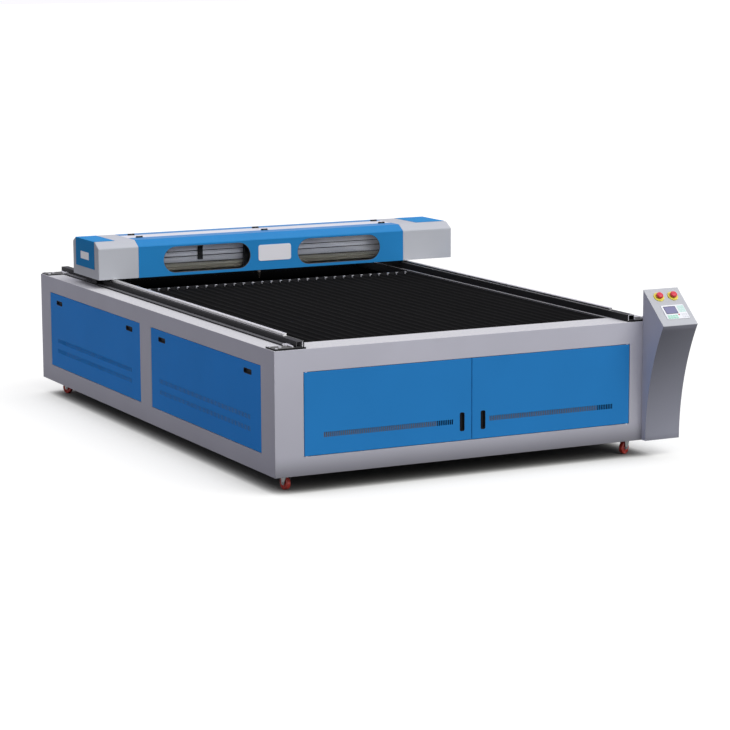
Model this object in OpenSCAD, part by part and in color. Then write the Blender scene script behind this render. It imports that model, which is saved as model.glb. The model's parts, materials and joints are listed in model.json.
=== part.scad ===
// Flatbed laser cutter with a gantry that travels on two rails.
// x runs across the front, y from the front to the back, z up. All sizes in mm.
// The modules are drawn from the front left corner of the cabinet, at its underside;
// place() then moves them so that the origin is on the floor under the middle.

/* [Cabinet] */
// Width of the cabinet
body_w = 2450; // [2350:10:2600]
// Depth of the cabinet
body_d = 3765; // [3700:5:3900]
// Height of the cabinet from its underside to its table top
body_h = 700; // [690:2:740]
// Thickness of the folded outer sheets
skin_t = 2.5; // [1.5:0.5:3]
// Depth of the table top in front of the bed and behind the rear bay
end_top_d = 212; // [190:2:230]
// Width of the table top beside the bed
side_top_w = 193; // [188:1:200]
// Height of the lip that the table top folds down to
top_lip_h = 60; // [40:5:70]

/* [Frame] */
// Width of the frame's channels
frame_w = 50; // [40:5:60]
// Wall of the frame's channels
frame_t = 5; // [3:0.5:6]
// Height of the lower ring of the frame
lower_ring_h = 100; // [80:5:100]
// Leg of the corner angles
corner_leg = 162; // [120:2:168]
// Height of the ledgers and cross members under the bed
cross_h = 60; // [50:5:80]
// Number of cross members
cross_count = 6; // [4:1:8]
// First and last cross member, from the ends of the cabinet
cross_inset = 300; // [260:10:360]
// Distance of the ledgers from the sides of the cabinet
ledger_in = 40; // [32:1:45]
// Thickness of the scrap floor
pan_t = 2; // [1.5:0.5:3]

/* [Panels and doors] */
// Width of the post at each end of a side
side_post_w = 180; // [176:1:200]
// Bottom of the side panels
panel_sill = 107; // [104:1:120]
// Height of the side panels
panel_h = 491; // [460:1:495]
// Gap round each panel and door
panel_gap = 3; // [2:0.5:4]
// Sheet of the panels and doors
panel_t = 2; // [1.5:0.5:2.5]
// Depth of the landing behind the panels and doors
landing_d = 26; // [26:1:30]
// Width of the landing
landing_w = 15; // [10:1:20]
// Left edge of the door opening
door_x0 = 174; // [172:1:190]
// Right edge of the door opening, from the right side of the cabinet
door_right_in = 187; // [180:1:200]
// Seam between the doors, left of the middle of the cabinet
door_seam_off = 7; // [0:1:20]
// Bottom of the doors
door_sill = 103; // [103:1:120]
// Height of the doors
door_h = 470; // [440:1:480]
// Depth of the folded edge of a door
door_return_d = 18; // [15:1:18]
// Greatest angle of the doors
door_open = 95; // [80:5:110]

/* [Vents and pulls] */
// Height of a vent slot
vent_h = 30; // [20:1:32]
// Width of a door vent slot
door_vent_w = 5.5; // [4:0.5:7]
// Pitch of the door vent slots
door_vent_pitch = 11.7; // [10:0.1:14]
// Bottom of the door vents above the door opening
door_vent_up = 99; // [80:1:120]
// Door vents to the outer edge of their door
door_vent_out = 117; // [100:1:140]
// Outer end of the right door's vents, from the outer edge of the door
right_vent_out = 107; // [80:1:130]
// Door vents to the seam
door_vent_in = 114; // [100:1:140]
// Width of a side vent slot
side_vent_w = 8; // [5:0.5:10]
// Pitch of the side vent slots
side_vent_pitch = 20; // [16:0.5:24]
// Bottom of the lower side vents above the panel opening
side_vent_up = 98; // [80:1:120]
// Distance between the two rows of side vents
side_vent_rows = 67; // [50:1:90]
// Side vents to the edge of their panel
side_vent_edge = 133; // [110:1:160]
// Length of a flush pull
pull_l = 104; // [90:1:120]
// Width of a flush pull
pull_w = 27; // [24:1:32]
// Depth of a flush pull
pull_d = 14; // [10:1:16]
// Wall of a flush pull
pull_t = 2; // [1.5:0.5:3]
// Side pulls, centre to the edge of the panel
pull_edge = 176; // [120:1:220]
// Side pulls, centre below the top of the panel opening
pull_down = 57; // [40:1:80]
// Left door pull, centre to the seam
left_pull_in = 62; // [50:1:80]
// Right door pull, centre to the seam
right_pull_in = 72; // [50:1:80]
// Door pulls, centre above the bottom of the doors
door_pull_up = 110; // [90:1:130]

/* [Bed] */
// Length of the cutting bed
bed_l = 2525; // [2400:5:2560]
// Height of the bed frame
bed_frame_h = 94.5; // [80:0.5:100]
// Top of the bed frame below the table top
bed_drop = 5; // [4:1:8]
// Width of the bed frame's side bars
bed_side_w = 31; // [24:1:34]
// Sheet of the bed frame
bed_t = 4; // [3:0.5:6]
// Height of a blade
blade_h = 48; // [30:1:60]
// Thickness of a blade
blade_t = 3; // [2:0.5:4]
// Distance between blades
blade_pitch = 66; // [50:1:90]
// Number of blades
blade_count = 31; // [25:1:31]
// Blades below the top of the bed frame
blade_drop = 4; // [3:0.5:6]
// Number of bars that carry the blades
blade_bar_count = 6; // [4:1:8]
// Sheet of the rear bay
bay_t = 3; // [2:0.5:4]
// Top of the rear bay sheet below the table top
bay_drop = 60; // [55:1:70]

/* [Rails] */
// Width of the rail base
rail_base_w = 73; // [70:1:76]
// Thickness of the rail base
rail_base_t = 6.5; // [5:0.5:8]
// Thickness of the upright leg of the rail base
rail_leg_t = 8; // [6:0.5:8]
// Width of the hollow tube
tube_w = 40; // [38:1:40]
// Height of the hollow tube
tube_h = 33.5; // [30:0.5:40]
// Wall of the hollow tube
tube_t = 4; // [3:0.5:5]
// Width of the guide rail
guide_w = 20; // [16:1:22]
// Height of the guide rail
guide_h = 15; // [12:1:20]
// Guide rail to the inner side of the tube
guide_in = 1; // [0.5:0.5:2]
// Front end of the guide rail
guide_y0 = 234; // [200:2:260]
// Rear end of the guide rail, from the back of the cabinet
guide_rear_in = 235; // [230:5:235]
// Front end of the rail base, from the front of the cabinet
base_y0 = 27; // [20:1:40]
// Rear end of the rail base, from the back of the cabinet
base_rear_in = 5; // [3:1:20]
// Front edge of the front end plate, from the front of the cabinet
end_plate_y0 = 5; // [3:1:15]
// Length of the wide plate at each end of the rail base
end_plate_l = 122; // [110:1:130]
// Outer edge of the front end plate
front_plate_in = 8; // [6:1:20]
// Outer edge of the rear end plate
rear_plate_in = 8; // [5:1:20]
// Width of the drive belts
belt_w = 25; // [20:1:25]
// Thickness of the drive belts
belt_t = 3; // [2:0.5:3]
// Belts to the tube
belt_gap = 2; // [2:0.5:3]
// Underside of the belts above the rail base
belt_up = 1.5; // [1:0.5:2]

/* [Gantry] */
// Front of the parked gantry behind the bed
park_gap = 82.5; // [80:0.5:90]
// Depth of the gantry
gantry_d = 468; // [460:2:480]
// Height of the gantry
gantry_h = 239; // [235:1:250]
// Gantry above the guide rails
gantry_gap = 3; // [2:0.5:6]
// Front chamfer of the gantry, along y
front_chamfer_y = 66; // [50:1:80]
// Front chamfer of the gantry, along z
front_chamfer_z = 38; // [30:1:40]
// Rear chamfer of the gantry, along y
rear_chamfer_y = 47; // [30:1:50]
// Rear chamfer of the gantry, along z
rear_chamfer_z = 26; // [20:1:40]
// Outer face of the left cap, from the left side of the cabinet
left_cap_in = 60; // [55:1:70]
// Width of the left cap
left_cap_w = 273; // [260:1:290]
// Inner end of the right cap, from the right side of the cabinet
right_cap_in = 203; // [203:1:215]
// Width of the right cap
right_cap_w = 368; // [360:1:380]
// Sheet of the caps
cap_t = 2.5; // [1.5:0.5:3]
// Sheet of the covers
cover_t = 2; // [1.5:0.5:2.5]
// Gap between a cover and what lies beside it
cover_gap = 1; // [0.5:0.5:2]
// Front edge of the top strip, from the front of the gantry
strip_y = 183; // [180:1:190]
// Width of the top strip
strip_w = 147; // [140:1:150]
// Greatest angle of the covers
cover_open = 95; // [80:5:100]

/* [Windows and hatches] */
// Height of a window
window_h = 170; // [150:1:172]
// Windows above the bottom of the gantry
window_up = 18; // [16:1:24]
// Length of the left window
left_window_l = 613; // [560:1:640]
// Left window to the left end of the cover
left_window_in = 174; // [150:1:200]
// Length of the right window
right_window_l = 611; // [560:1:640]
// Right window to the right end of the cover
right_window_in = 176; // [150:1:200]
// Margin of a pane round its window
pane_margin = 10; // [8:1:12]
// Thickness of a pane
pane_t = 3; // [2:0.5:4]
// Sheet of the hatches
hatch_t = 1.5; // [1:0.5:2]
// Front edge of the left hatch, from the front of the gantry
left_hatch_y = 75; // [70:1:90]
// Front edge of the right hatch, from the front of the gantry
right_hatch_y = 101; // [90:1:110]
// Length of the left hatch, along y
left_hatch_l = 337; // [320:1:340]
// Length of the right hatch, along y
right_hatch_l = 317; // [300:1:320]
// Depth of the left hatch on the top of its cap
left_hatch_w = 140; // [120:1:160]
// Depth of the right hatch on the top of its cap
right_hatch_w = 218; // [200:1:240]
// Height of the end hatches
hatch_h = 179; // [160:1:190]
// Width of the hatch landing
hatch_lap = 15; // [10:1:20]

/* [Hinges] */
// Length of a cover hinge
hinge_l = 44; // [36:1:60]
// Width of a cover hinge
hinge_w = 22; // [20:1:30]
// Thickness of a hinge leaf
leaf_t = 2.5; // [2:0.5:3]
// Radius of a hinge knuckle
knuckle_r = 5; // [4.5:0.5:6]
// Radius of a hinge pin
hinge_pin_r = 2.5; // [2:0.5:3]
// Length of the middle knuckle
mid_knuckle_l = 15; // [10:1:20]
// Gap between knuckles
knuckle_gap = 0.4; // [0.3:0.1:1]
// Left hinges to the left end of the covers
hinge_left_in = 80; // [60:1:120]
// Middle hinges, right of the middle of the covers
hinge_mid_off = 12; // [0:1:30]
// Right front hinge to the right end of the covers
hinge_front_right_in = 72; // [50:1:120]
// Right rear hinge to the right end of the covers
hinge_rear_right_in = 58; // [50:1:120]
// Radius of a door pin
door_pin_r = 3.5; // [3:0.5:4]
// Length of a door pin
door_pin_l = 14; // [12:1:20]
// Radius of the collar of a door pin
door_collar_r = 5.5; // [5:0.5:6]
// Door pin behind the face of the door
door_pin_y = 6; // [6:0.5:7]
// Door pin to the outer edge of the door
door_pin_in = 14; // [13:0.5:15]
// Play of a hinge pin in its bore, on the radius
pin_play = 0.05; // [0.02:0.01:0.1]

/* [Beam and drives] */
// Thickness of the truck plates
truck_t = 12; // [10:1:14]
// Truck plates above the guide rails
truck_up = 15; // [12:1:18]
// Inner end of the truck plates, from the side of the cabinet
truck_in = 320; // [290:5:325]
// Front of the beam, from the front of the gantry
beam_y = 85; // [85:1:88]
// Depth of the beam
beam_d = 100; // [96:1:100]
// Height of the beam
beam_h = 168; // [150:1:170]
// Wall of the beam
beam_t = 8; // [6:1:8]
// Ends of the beam, from the sides of the cabinet
beam_in = 160; // [152:1:180]
// Depth of the slots in the face of the beam
beam_slot_d = 6; // [3:0.5:6]
// Height of the slots in the face of the beam
beam_slot_h = 8; // [6:0.5:12]
// Length of a bearing block
bearing_l = 80; // [60:2:90]
// Width of a bearing block
bearing_w = 44; // [40:1:46]
// Bearing block above the tube
bearing_up = 3; // [2:0.5:4]
// Play of a bearing block on its rail
slide_play = 0.3; // [0.3:0.05:0.4]
// Centres of the bearing blocks, from the ends of the gantry
bearing_y = 95; // [90:1:120]
// Drive shaft behind the beam
shaft_back = 35; // [32:1:40]
// Radius of the drive shaft
shaft_r = 10; // [8:0.5:10]
// Radius of the drive pulleys
pulley_r = 20; // [18:0.5:21]
// Belt loop round its pulley, play on the radius
loop_play = 0.3; // [0.3:0.05:0.4]
// Radius of a belt guide rod
guide_rod_r = 10; // [8:0.5:10]
// Side of the travel motor
drive_motor_w = 80; // [76:1:84]
// Length of the travel motor
drive_motor_l = 100; // [80:1:120]
// Side of the carriage motor
x_motor_w = 42; // [38:1:42]
// Radius of the carriage pulleys
x_pulley_r = 12; // [10:0.5:12]
// Width of the carriage belt
x_belt_w = 10; // [8:1:12]
// Thickness of the carriage belt
x_belt_t = 1.5; // [1:0.25:1.5]
// Carriage pulleys, from the ends of the covers
x_pulley_in = 127; // [120:1:140]
// Radius of the laser tube
laser_r = 40; // [30:1:40]
// Laser tube behind the beam
laser_back = 125; // [110:1:130]
// Underside of the laser tube above the truck plates
laser_up = 58; // [56:1:62]
// Ends of the laser tube, from the ends of the covers
laser_in = 130; // [110:5:200]
// Width of the arms that carry the laser tube
cradle_w = 30; // [20:1:40]
// Arms of the laser tube, from its ends
cradle_in = 150; // [120:5:200]

/* [Carriage] */
// Middle of the parked carriage, from the left side of the cabinet
carriage_x = 1190; // [1150:5:1230]
// Width of the carriage
carriage_w = 200; // [160:5:220]
// Depth of the carriage rail
x_rail_d = 15; // [12:1:16]
// Height of the carriage rail
x_rail_h = 20; // [16:1:24]
// Carriage rail above the underside of the beam
x_rail_up = 3; // [2:1:6]
// Thickness of the carriage plate
carriage_t = 10; // [8:1:10]
// Carriage plate in front of the beam
carriage_gap = 31; // [31:1:33]
// Radius of the laser head
head_r = 14; // [10:0.5:14]
// Middle of the laser head in front of the carriage plate
head_out = 18; // [17:0.5:18]
// Tip of the nozzle above the table top
nozzle_up = 2; // [0:1:6]
// Height of the nozzle
nozzle_h = 42; // [30:1:50]
// Radius of the nozzle's tip
nozzle_r = 4; // [3:0.5:6]
// Radius of the beam's bore in the nozzle
nozzle_bore_r = 1.5; // [1:0.5:2]
// Top of the laser head below the top of the beam
head_down = 40; // [30:2:60]

/* [Console] */
// Width of the console
console_w = 235; // [220:1:250]
// Height of the console above the underside of the cabinet
console_h = 884; // [870:2:900]
// Depth of the console under its panel
console_d = 219; // [210:1:230]
// Fall of the control panel
console_drop = 187; // [170:1:200]
// Depth of the console at its foot
console_foot_d = 42; // [30:1:60]
// Console past the right side of the cabinet
console_out = 133.5; // [120:0.5:140]
// Sheet of the console
console_t = 3; // [2:0.5:4]
// Thickness of the control panel
console_plate_t = 2.5; // [2:0.5:4]
// Width of the console's landing under the control panel
console_lap = 12; // [8:1:14]
// Radius of an emergency stop collar
collar_r = 35; // [30:1:36]
// Thickness of an emergency stop collar
collar_t = 6; // [4:0.5:8]
// Radius of an emergency stop stem
stem_r = 8; // [6:0.5:10]
// Radius of an emergency stop cap
cap_r = 20; // [18:0.5:24]
// Underside of an emergency stop cap above the panel
cap_up = 18; // [15:1:22]
// Height of an emergency stop cap
cap_h = 14; // [10:1:16]
// Travel of an emergency stop
stop_travel = 6; // [3:1:6]
// Emergency stops, distance apart
stop_pitch = 95; // [80:1:100]
// Emergency stops below the top edge of the panel
stop_down = 66; // [60:1:70]
// Left emergency stop from the left edge of the panel
stop_in = 74.5; // [60:0.5:80]
// Width of the controller plate
controller_w = 152; // [140:1:160]
// Height of the controller plate
controller_h = 107; // [100:1:110]
// Top of the controller plate below the top edge of the panel
controller_down = 134; // [130:1:140]
// Left edge of the controller plate from the left edge of the panel
controller_in = 51.5; // [45:0.5:60]
// Thickness of the controller plate
controller_t = 4; // [3:0.5:6]

/* [Casters] */
// Cabinet above the floor
ground_gap = 100; // [95:1:110]
// Radius of a caster wheel
wheel_r = 37.5; // [34:0.5:38]
// Width of a caster wheel
wheel_w = 25; // [20:1:30]
// Wheel centres from the sides of the cabinet
wheel_in_x = 128; // [110:1:140]
// Wheel centres from the front and back of the cabinet
wheel_in_y = 145; // [130:1:160]
// Trail of a wheel behind its kingpin
trail = 18; // [10:1:20]
// Turn of the front left caster, clockwise from above
turn_fl = -10; // [-180:1:180]
// Turn of the front right caster
turn_fr = -114; // [-180:1:180]
// Turn of the rear left caster
turn_rl = -25; // [-180:1:180]
// Turn of the rear right caster
turn_rr = 20; // [-180:1:180]
// Length of a caster plate
caster_plate_l = 100; // [90:1:110]
// Width of a caster plate
caster_plate_w = 88; // [80:1:100]
// Thickness of a caster plate
caster_plate_t = 5; // [4:0.5:6]
// Radius of a kingpin
kingpin_r = 6; // [5:0.5:7]
// Radius of a wheel axle
axle_r = 5; // [4:0.5:6]
// Thickness of a fork
fork_t = 4; // [3:0.5:4]

/* [Rear fittings] */
// Outer radius of an exhaust collar
exhaust_r = 75; // [60:1:90]
// Wall of an exhaust collar
exhaust_t = 2; // [1.5:0.5:3]
// Length of an exhaust collar
exhaust_l = 60; // [40:2:80]
// Flange of an exhaust collar
exhaust_flange = 20; // [15:1:25]
// Exhaust collars from the sides of the cabinet
exhaust_in = 700; // [500:10:900]
// Height of the exhaust collars
exhaust_z = 350; // [300:5:400]

/* [Hidden] */
$fn = 48;

// Cutting tools run this far past what they cut
cut = 1;
// Parts that pass each other closely stay this far apart
clear = 0.3;

// Cabinet
upper_ring_z = max(panel_sill + panel_h, door_sill + door_h) + skin_t + 0.5;
door_x1 = body_w - door_right_in;
door_seam = body_w / 2 - door_seam_off;
side_panel_l = (body_d - 3 * side_post_w) / 2;
front_panel_y0 = side_post_w;
rear_panel_y0 = 2 * side_post_w + side_panel_l;

// Bed
bed_edge_gap = 0.5;
bed_x0 = side_top_w + bed_edge_gap;
bed_x1 = body_w - bed_x0;
bed_y0 = end_top_d + bed_edge_gap;
bed_y1 = bed_y0 + bed_l;
bed_top = body_h - bed_drop;
bed_base = bed_top - bed_frame_h;
blade_top = bed_top - blade_drop;
blade_base = blade_top - blade_h;
bay_y0 = bed_y1 + bed_edge_gap;
bay_y1 = body_d - end_top_d - bed_edge_gap;

// Rails
tube_x1 = side_top_w - rail_leg_t;
tube_x0 = tube_x1 - tube_w;
tube_z0 = body_h + rail_base_t;
tube_top = tube_z0 + tube_h;
guide_x1 = tube_x1 - guide_in;
guide_x0 = guide_x1 - guide_w;
rail_top = tube_top + guide_h;
rail_mid = (guide_x0 + guide_x1) / 2;
base_y1 = body_d - base_rear_in;
guide_y1 = body_d - guide_rear_in;
belt_x1 = tube_x0 - belt_gap;
belt_x0 = belt_x1 - belt_w;
belt_z0 = tube_z0 + belt_up;
belt_z1 = belt_z0 + belt_t;
clamp_l = 40;
clamp_h = 9.5;
clamp_on_plate = 25;
clamp_y0 = end_plate_y0 + end_plate_l - clamp_on_plate;
clamp_y1 = clamp_y0 + clamp_l;
rear_clamp_y0 = base_y1 - end_plate_l + clamp_on_plate - clamp_l;

// Gantry
gantry_y0 = bed_y1 + park_gap;
gantry_y1 = gantry_y0 + gantry_d;
gantry_z0 = rail_top + gantry_gap;
gantry_z1 = gantry_z0 + gantry_h;
left_cap_x1 = left_cap_in + left_cap_w;
right_cap_x0 = body_w - right_cap_in;
right_cap_x1 = right_cap_x0 + right_cap_w;
cover_x0 = left_cap_x1 + cover_gap;
cover_x1 = right_cap_x0 - cover_gap;
strip_y0 = gantry_y0 + strip_y;
strip_y1 = strip_y0 + strip_w;
strip_z0 = gantry_z1 - cover_t;
window_z0 = gantry_z0 + window_up;
left_window_x0 = left_cap_x1 + left_window_in;
right_window_x0 = right_cap_x0 - right_window_in - right_window_l;
axis_z = gantry_z1 + knuckle_r;
hinge_left_x = left_cap_x1 + hinge_left_in;
hinge_mid_x = (left_cap_x1 + right_cap_x0) / 2 + hinge_mid_off;
front_hinges = [hinge_left_x, hinge_mid_x, right_cap_x0 - hinge_front_right_in];
rear_hinges = [hinge_left_x, hinge_mid_x, right_cap_x0 - hinge_rear_right_in];

// Beam and drives
truck_z0 = rail_top + truck_up;
truck_z1 = truck_z0 + truck_t;
truck_outer = belt_x0 - 10;
beam_y0 = gantry_y0 + beam_y;
beam_y1 = beam_y0 + beam_d;
beam_top = truck_z1 + beam_h;
shaft_y = beam_y1 + shaft_back;
shaft_z = truck_z1 + drive_motor_w / 2;
drive_motor_x0 = body_w - truck_outer + 3;
loop_r0 = pulley_r + loop_play;
loop_r1 = loop_r0 + belt_t;
loop_base = belt_z1 + 0.8;
guide_rod_y = loop_r1 + clear + guide_rod_r;
guide_rod_z = loop_base + guide_rod_r;
x_motor_gap = 8;
x_axis_y = beam_y0 + beam_d / 2 - 5;
x_axis_z = beam_top + x_motor_w / 2;
x_idler_x = cover_x0 - cover_gap + x_pulley_in - 100;
x_drive_x = cover_x1 + cover_gap - x_pulley_in;
x_loop_r0 = x_pulley_r + loop_play;
x_loop_r1 = x_loop_r0 + x_belt_t;
x_motor_y0 = x_axis_y + x_belt_w / 2 + x_motor_gap;
laser_y = beam_y1 + laser_back;
laser_z = truck_z1 + laser_up + laser_r;
laser_x0 = left_cap_x1 + laser_in;
laser_x1 = right_cap_x0 - laser_in;

// Carriage
x_rail_y0 = beam_y0 - x_rail_d;
x_rail_z0 = truck_z1 + x_rail_up;
plate_y1 = beam_y0 - carriage_gap;
plate_y0 = plate_y1 - carriage_t;
head_y = plate_y0 - head_out;
nozzle_z = body_h + nozzle_up;
head_z0 = nozzle_z + nozzle_h;
head_z1 = beam_top - head_down;
holder_z0 = truck_z1 + 18;
holder_h = 40;

// Console
console_x1 = body_w + console_out;
console_x0 = console_x1 - console_w;
panel_tilt = atan2(console_drop, console_d);
panel_l = norm([console_d, console_drop]);
console_arc_y = console_d - console_plate_t * 0.6;
console_arc_z = console_h - console_drop - console_plate_t * 0.8;
arc_run = console_arc_y - console_foot_d;
console_arc_r = (arc_run * arc_run + console_arc_z * console_arc_z) / (2 * arc_run);

// Casters
axle_z = wheel_r - ground_gap;
fork_top = -caster_plate_t - 8;
kingpin_head_t = 3;

// The whole machine, for the origin on the floor
machine_x1 = right_cap_x1 + hatch_t;
machine_y0 = -console_d;
machine_y1 = body_d + exhaust_l;
x_mid = machine_x1 / 2;
y_mid = (machine_y0 + machine_y1) / 2;

// ---- helpers ----

module place() translate([-x_mid, -y_mid, ground_gap]) children();

module block(x0, x1, y0, y1, z0, z1)
    translate([x0, y0, z0]) cube([x1 - x0, y1 - y0, z1 - z0]);

module rod_x(x0, x1, y, z, r)
    translate([x0, y, z]) rotate([0, 90, 0]) cylinder(h = x1 - x0, r = r);

module rod_y(x, y0, y1, z, r)
    translate([x, y0, z]) rotate([-90, 0, 0]) cylinder(h = y1 - y0, r = r);

module rod_z(x, y, z0, z1, r)
    translate([x, y, z0]) cylinder(h = z1 - z0, r = r);

module right_side() translate([body_w, 0, 0]) mirror([1, 0, 0]) children();

module both_sides() {
    children();
    right_side() children();
}

module front_and_rear() {
    children();
    translate([0, body_d, 0]) mirror([0, 1, 0]) children();
}

// Turns something drawn behind the front face so that it lies behind the left side
module on_left_side() mirror([1, -1, 0]) children();

// ---- frame ----

module channel_ring(z0, z1) difference() {
    block(skin_t, body_w - skin_t, skin_t, body_d - skin_t, z0, z1);
    block(skin_t + frame_w, body_w - skin_t - frame_w,
        skin_t + frame_w, body_d - skin_t - frame_w, z0 - cut, z1 + cut);
    block(skin_t + frame_t, body_w - skin_t - frame_t,
        skin_t + frame_t, body_d - skin_t - frame_t, z0 + frame_t, z1 - frame_t);
}

module corner_post() {
    block(skin_t, skin_t + frame_t, skin_t, corner_leg, 0, body_h - skin_t);
    block(skin_t, corner_leg, skin_t, skin_t + frame_t, 0, body_h - skin_t);
}

module middle_post() {
    y0 = front_panel_y0 + side_panel_l + skin_t + frame_t;
    y1 = rear_panel_y0 - skin_t - frame_t;
    difference() {
        block(skin_t, skin_t + frame_w, y0, y1, 0, body_h - skin_t);
        block(skin_t + frame_t, skin_t + frame_w + cut, y0 + frame_t, y1 - frame_t,
            -cut, body_h);
    }
}

module caster_pad() {
    kingpin_y = wheel_in_y - trail;
    block(skin_t, wheel_in_x + caster_plate_w / 2 + frame_t,
        skin_t, kingpin_y + caster_plate_l / 2 + frame_t, 0, frame_t);
}

module rear_caster_pad() {
    kingpin_y = body_d - wheel_in_y - trail;
    block(skin_t, wheel_in_x + caster_plate_w / 2 + frame_t,
        kingpin_y - caster_plate_l / 2 - frame_t, body_d - skin_t, 0, frame_t);
}

module ledger() difference() {
    block(ledger_in, ledger_in + frame_w, skin_t, body_d - skin_t,
        bed_base - cross_h, bed_base);
    block(ledger_in + frame_t, ledger_in + frame_w - frame_t, 0, body_d,
        bed_base - cross_h - cut, bed_base - frame_t);
}

module cross_member(y) difference() {
    block(ledger_in + frame_w - frame_t, body_w - ledger_in - frame_w + frame_t,
        y - frame_w / 2, y + frame_w / 2, bed_base - cross_h, bed_base);
    block(ledger_in, body_w - ledger_in,
        y - frame_w / 2 + frame_t, y + frame_w / 2 - frame_t,
        bed_base - cross_h - cut, bed_base - frame_t);
}

module base_frame() place() color("dimgray") {
    cross_step = (body_d - 2 * cross_inset) / (cross_count - 1);
    channel_ring(0, lower_ring_h);
    channel_ring(upper_ring_z, body_h - skin_t);
    both_sides() {
        front_and_rear() corner_post();
        middle_post();
        caster_pad();
        rear_caster_pad();
        ledger();
    }
    for (i = [0 : cross_count - 1])
        cross_member(cross_inset + i * cross_step);
}

module floor_pan() place() color("gray") difference() {
    pan_in = skin_t + frame_w - 10;
    block(pan_in, body_w - pan_in, pan_in, body_d - pan_in,
        lower_ring_h, lower_ring_h + pan_t);
    both_sides()
        block(0, skin_t + frame_w + clear,
            front_panel_y0 + side_panel_l, rear_panel_y0,
            lower_ring_h - cut, lower_ring_h + pan_t + cut);
}

// ---- skins ----

// The folded rim of an opening in a face that lies on y = 0
module opening_rim(x0, x1, z0, z1)
    block(x0 - skin_t, x1 + skin_t, 0, landing_d + skin_t, z0 - skin_t, z1 + skin_t);

module opening_cut(x0, x1, z0, z1) {
    block(x0, x1, -cut, landing_d, z0, z1);
    block(x0 + landing_w, x1 - landing_w, -cut, landing_d + skin_t + cut,
        z0 + landing_w, z1 - landing_w);
}

// The table top at one end: face, top and lip
module end_skin() {
    block(0, body_w, 0, skin_t, 0, body_h);
    block(0, body_w, 0, end_top_d, body_h - skin_t, body_h);
    block(side_top_w - skin_t, body_w - side_top_w + skin_t,
        end_top_d - skin_t, end_top_d, body_h - top_lip_h, body_h);
}

module front_skin() place() color("silver") difference() {
    union() {
        end_skin();
        opening_rim(door_x0, door_x1, door_sill, door_sill + door_h);
    }
    opening_cut(door_x0, door_x1, door_sill, door_sill + door_h);
}

module rear_skin() place() color("silver") difference() {
    translate([0, body_d, 0]) mirror([0, 1, 0]) end_skin();
    both_sides()
        rod_y(exhaust_in, body_d - skin_t - cut, body_d + cut, exhaust_z,
            exhaust_r - exhaust_t);
}

// Drawn along x behind the front face, for on_left_side
module side_skin() {
    y0s = [front_panel_y0, rear_panel_y0];
    difference() {
        union() {
            block(skin_t, body_d - skin_t, 0, skin_t, 0, body_h - skin_t);
            block(end_top_d, body_d - end_top_d, 0, side_top_w, body_h - skin_t, body_h);
            block(end_top_d, body_d - end_top_d, 0, skin_t, body_h - 2 * skin_t, body_h);
            block(end_top_d, body_d - end_top_d, side_top_w - skin_t, side_top_w,
                body_h - top_lip_h, body_h);
            for (y0 = y0s)
                opening_rim(y0, y0 + side_panel_l, panel_sill, panel_sill + panel_h);
        }
        for (y0 = y0s)
            opening_cut(y0, y0 + side_panel_l, panel_sill, panel_sill + panel_h);
    }
}

module left_skin() place() color("silver") on_left_side() side_skin();

module right_skin() place() color("silver") right_side() on_left_side() side_skin();

// ---- panels and doors, drawn behind the front face ----

// A sheet with its four edges folded back
module folded_sheet(x0, x1, z0, z1, depth) difference() {
    block(x0, x1, 0, depth, z0, z1);
    block(x0 + panel_t, x1 - panel_t, panel_t, depth + cut, z0 + panel_t, z1 - panel_t);
}

module vent_row(x0, x1, z0, slot_w, pitch) {
    count = floor((x1 - x0 - slot_w) / pitch) + 1;
    for (i = [0 : count - 1])
        block(x0 + i * pitch, x0 + i * pitch + slot_w, -cut, panel_t + cut,
            z0, z0 + vent_h);
}

module pull_hole(x, z, w, h)
    block(x - w / 2, x + w / 2, -cut, panel_t + cut, z - h / 2, z + h / 2);

module flush_pull(x, z, w, h) difference() {
    block(x - w / 2 + clear, x + w / 2 - clear, 0, pull_d,
        z - h / 2 + clear, z + h / 2 - clear);
    block(x - w / 2 + pull_t + clear, x + w / 2 - pull_t - clear, -cut, pull_d - pull_t,
        z - h / 2 + pull_t + clear, z + h / 2 - pull_t - clear);
}

module side_panel(y0) {
    pull_z = panel_sill + panel_h - pull_down;
    pulls = [y0 + pull_edge, y0 + side_panel_l - pull_edge];
    color("steelblue") difference() {
        folded_sheet(y0 + panel_gap, y0 + side_panel_l - panel_gap,
            panel_sill + panel_gap, panel_sill + panel_h - panel_gap, landing_d);
        for (row = [0, 1])
            vent_row(y0 + side_vent_edge, y0 + side_panel_l - side_vent_edge,
                panel_sill + side_vent_up + row * side_vent_rows,
                side_vent_w, side_vent_pitch);
        for (y = pulls)
            pull_hole(y, pull_z, pull_l, pull_w);
    }
    color("black") for (y = pulls)
        flush_pull(y, pull_z, pull_l, pull_w);
}

module left_front_panel() place() on_left_side() side_panel(front_panel_y0);

module left_rear_panel() place() on_left_side() side_panel(rear_panel_y0);

module right_front_panel() place() right_side() on_left_side() side_panel(front_panel_y0);

module right_rear_panel() place() right_side() on_left_side() side_panel(rear_panel_y0);

// The pins stand in from the top and bottom of the opening at one place
module door_pins(x) {
    top = door_sill + door_h;
    for (end = [[door_sill, 1], [top, -1]]) translate([x, door_pin_y, end[0]])
        mirror([0, 0, end[1] < 0 ? 1 : 0]) {
            cylinder(h = door_pin_l, r = door_pin_r);
            cylinder(h = panel_gap - clear, r = door_collar_r);
        }
}

module door_hinges() place() color("silver") {
    door_pins(door_x0 + panel_gap + door_pin_in);
    door_pins(door_x1 - panel_gap - door_pin_in);
}

// Blocks inside the folded edges, bored for the pins
module door_pin_blocks(x) {
    half = door_pin_in - panel_t;
    z0 = door_sill + panel_gap;
    z1 = door_sill + door_h - panel_gap;
    for (z = [[z0, z0 + door_pin_l], [z1 - door_pin_l, z1]])
        block(x - half, x + half, panel_t / 2, door_return_d, z[0], z[1]);
}

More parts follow.
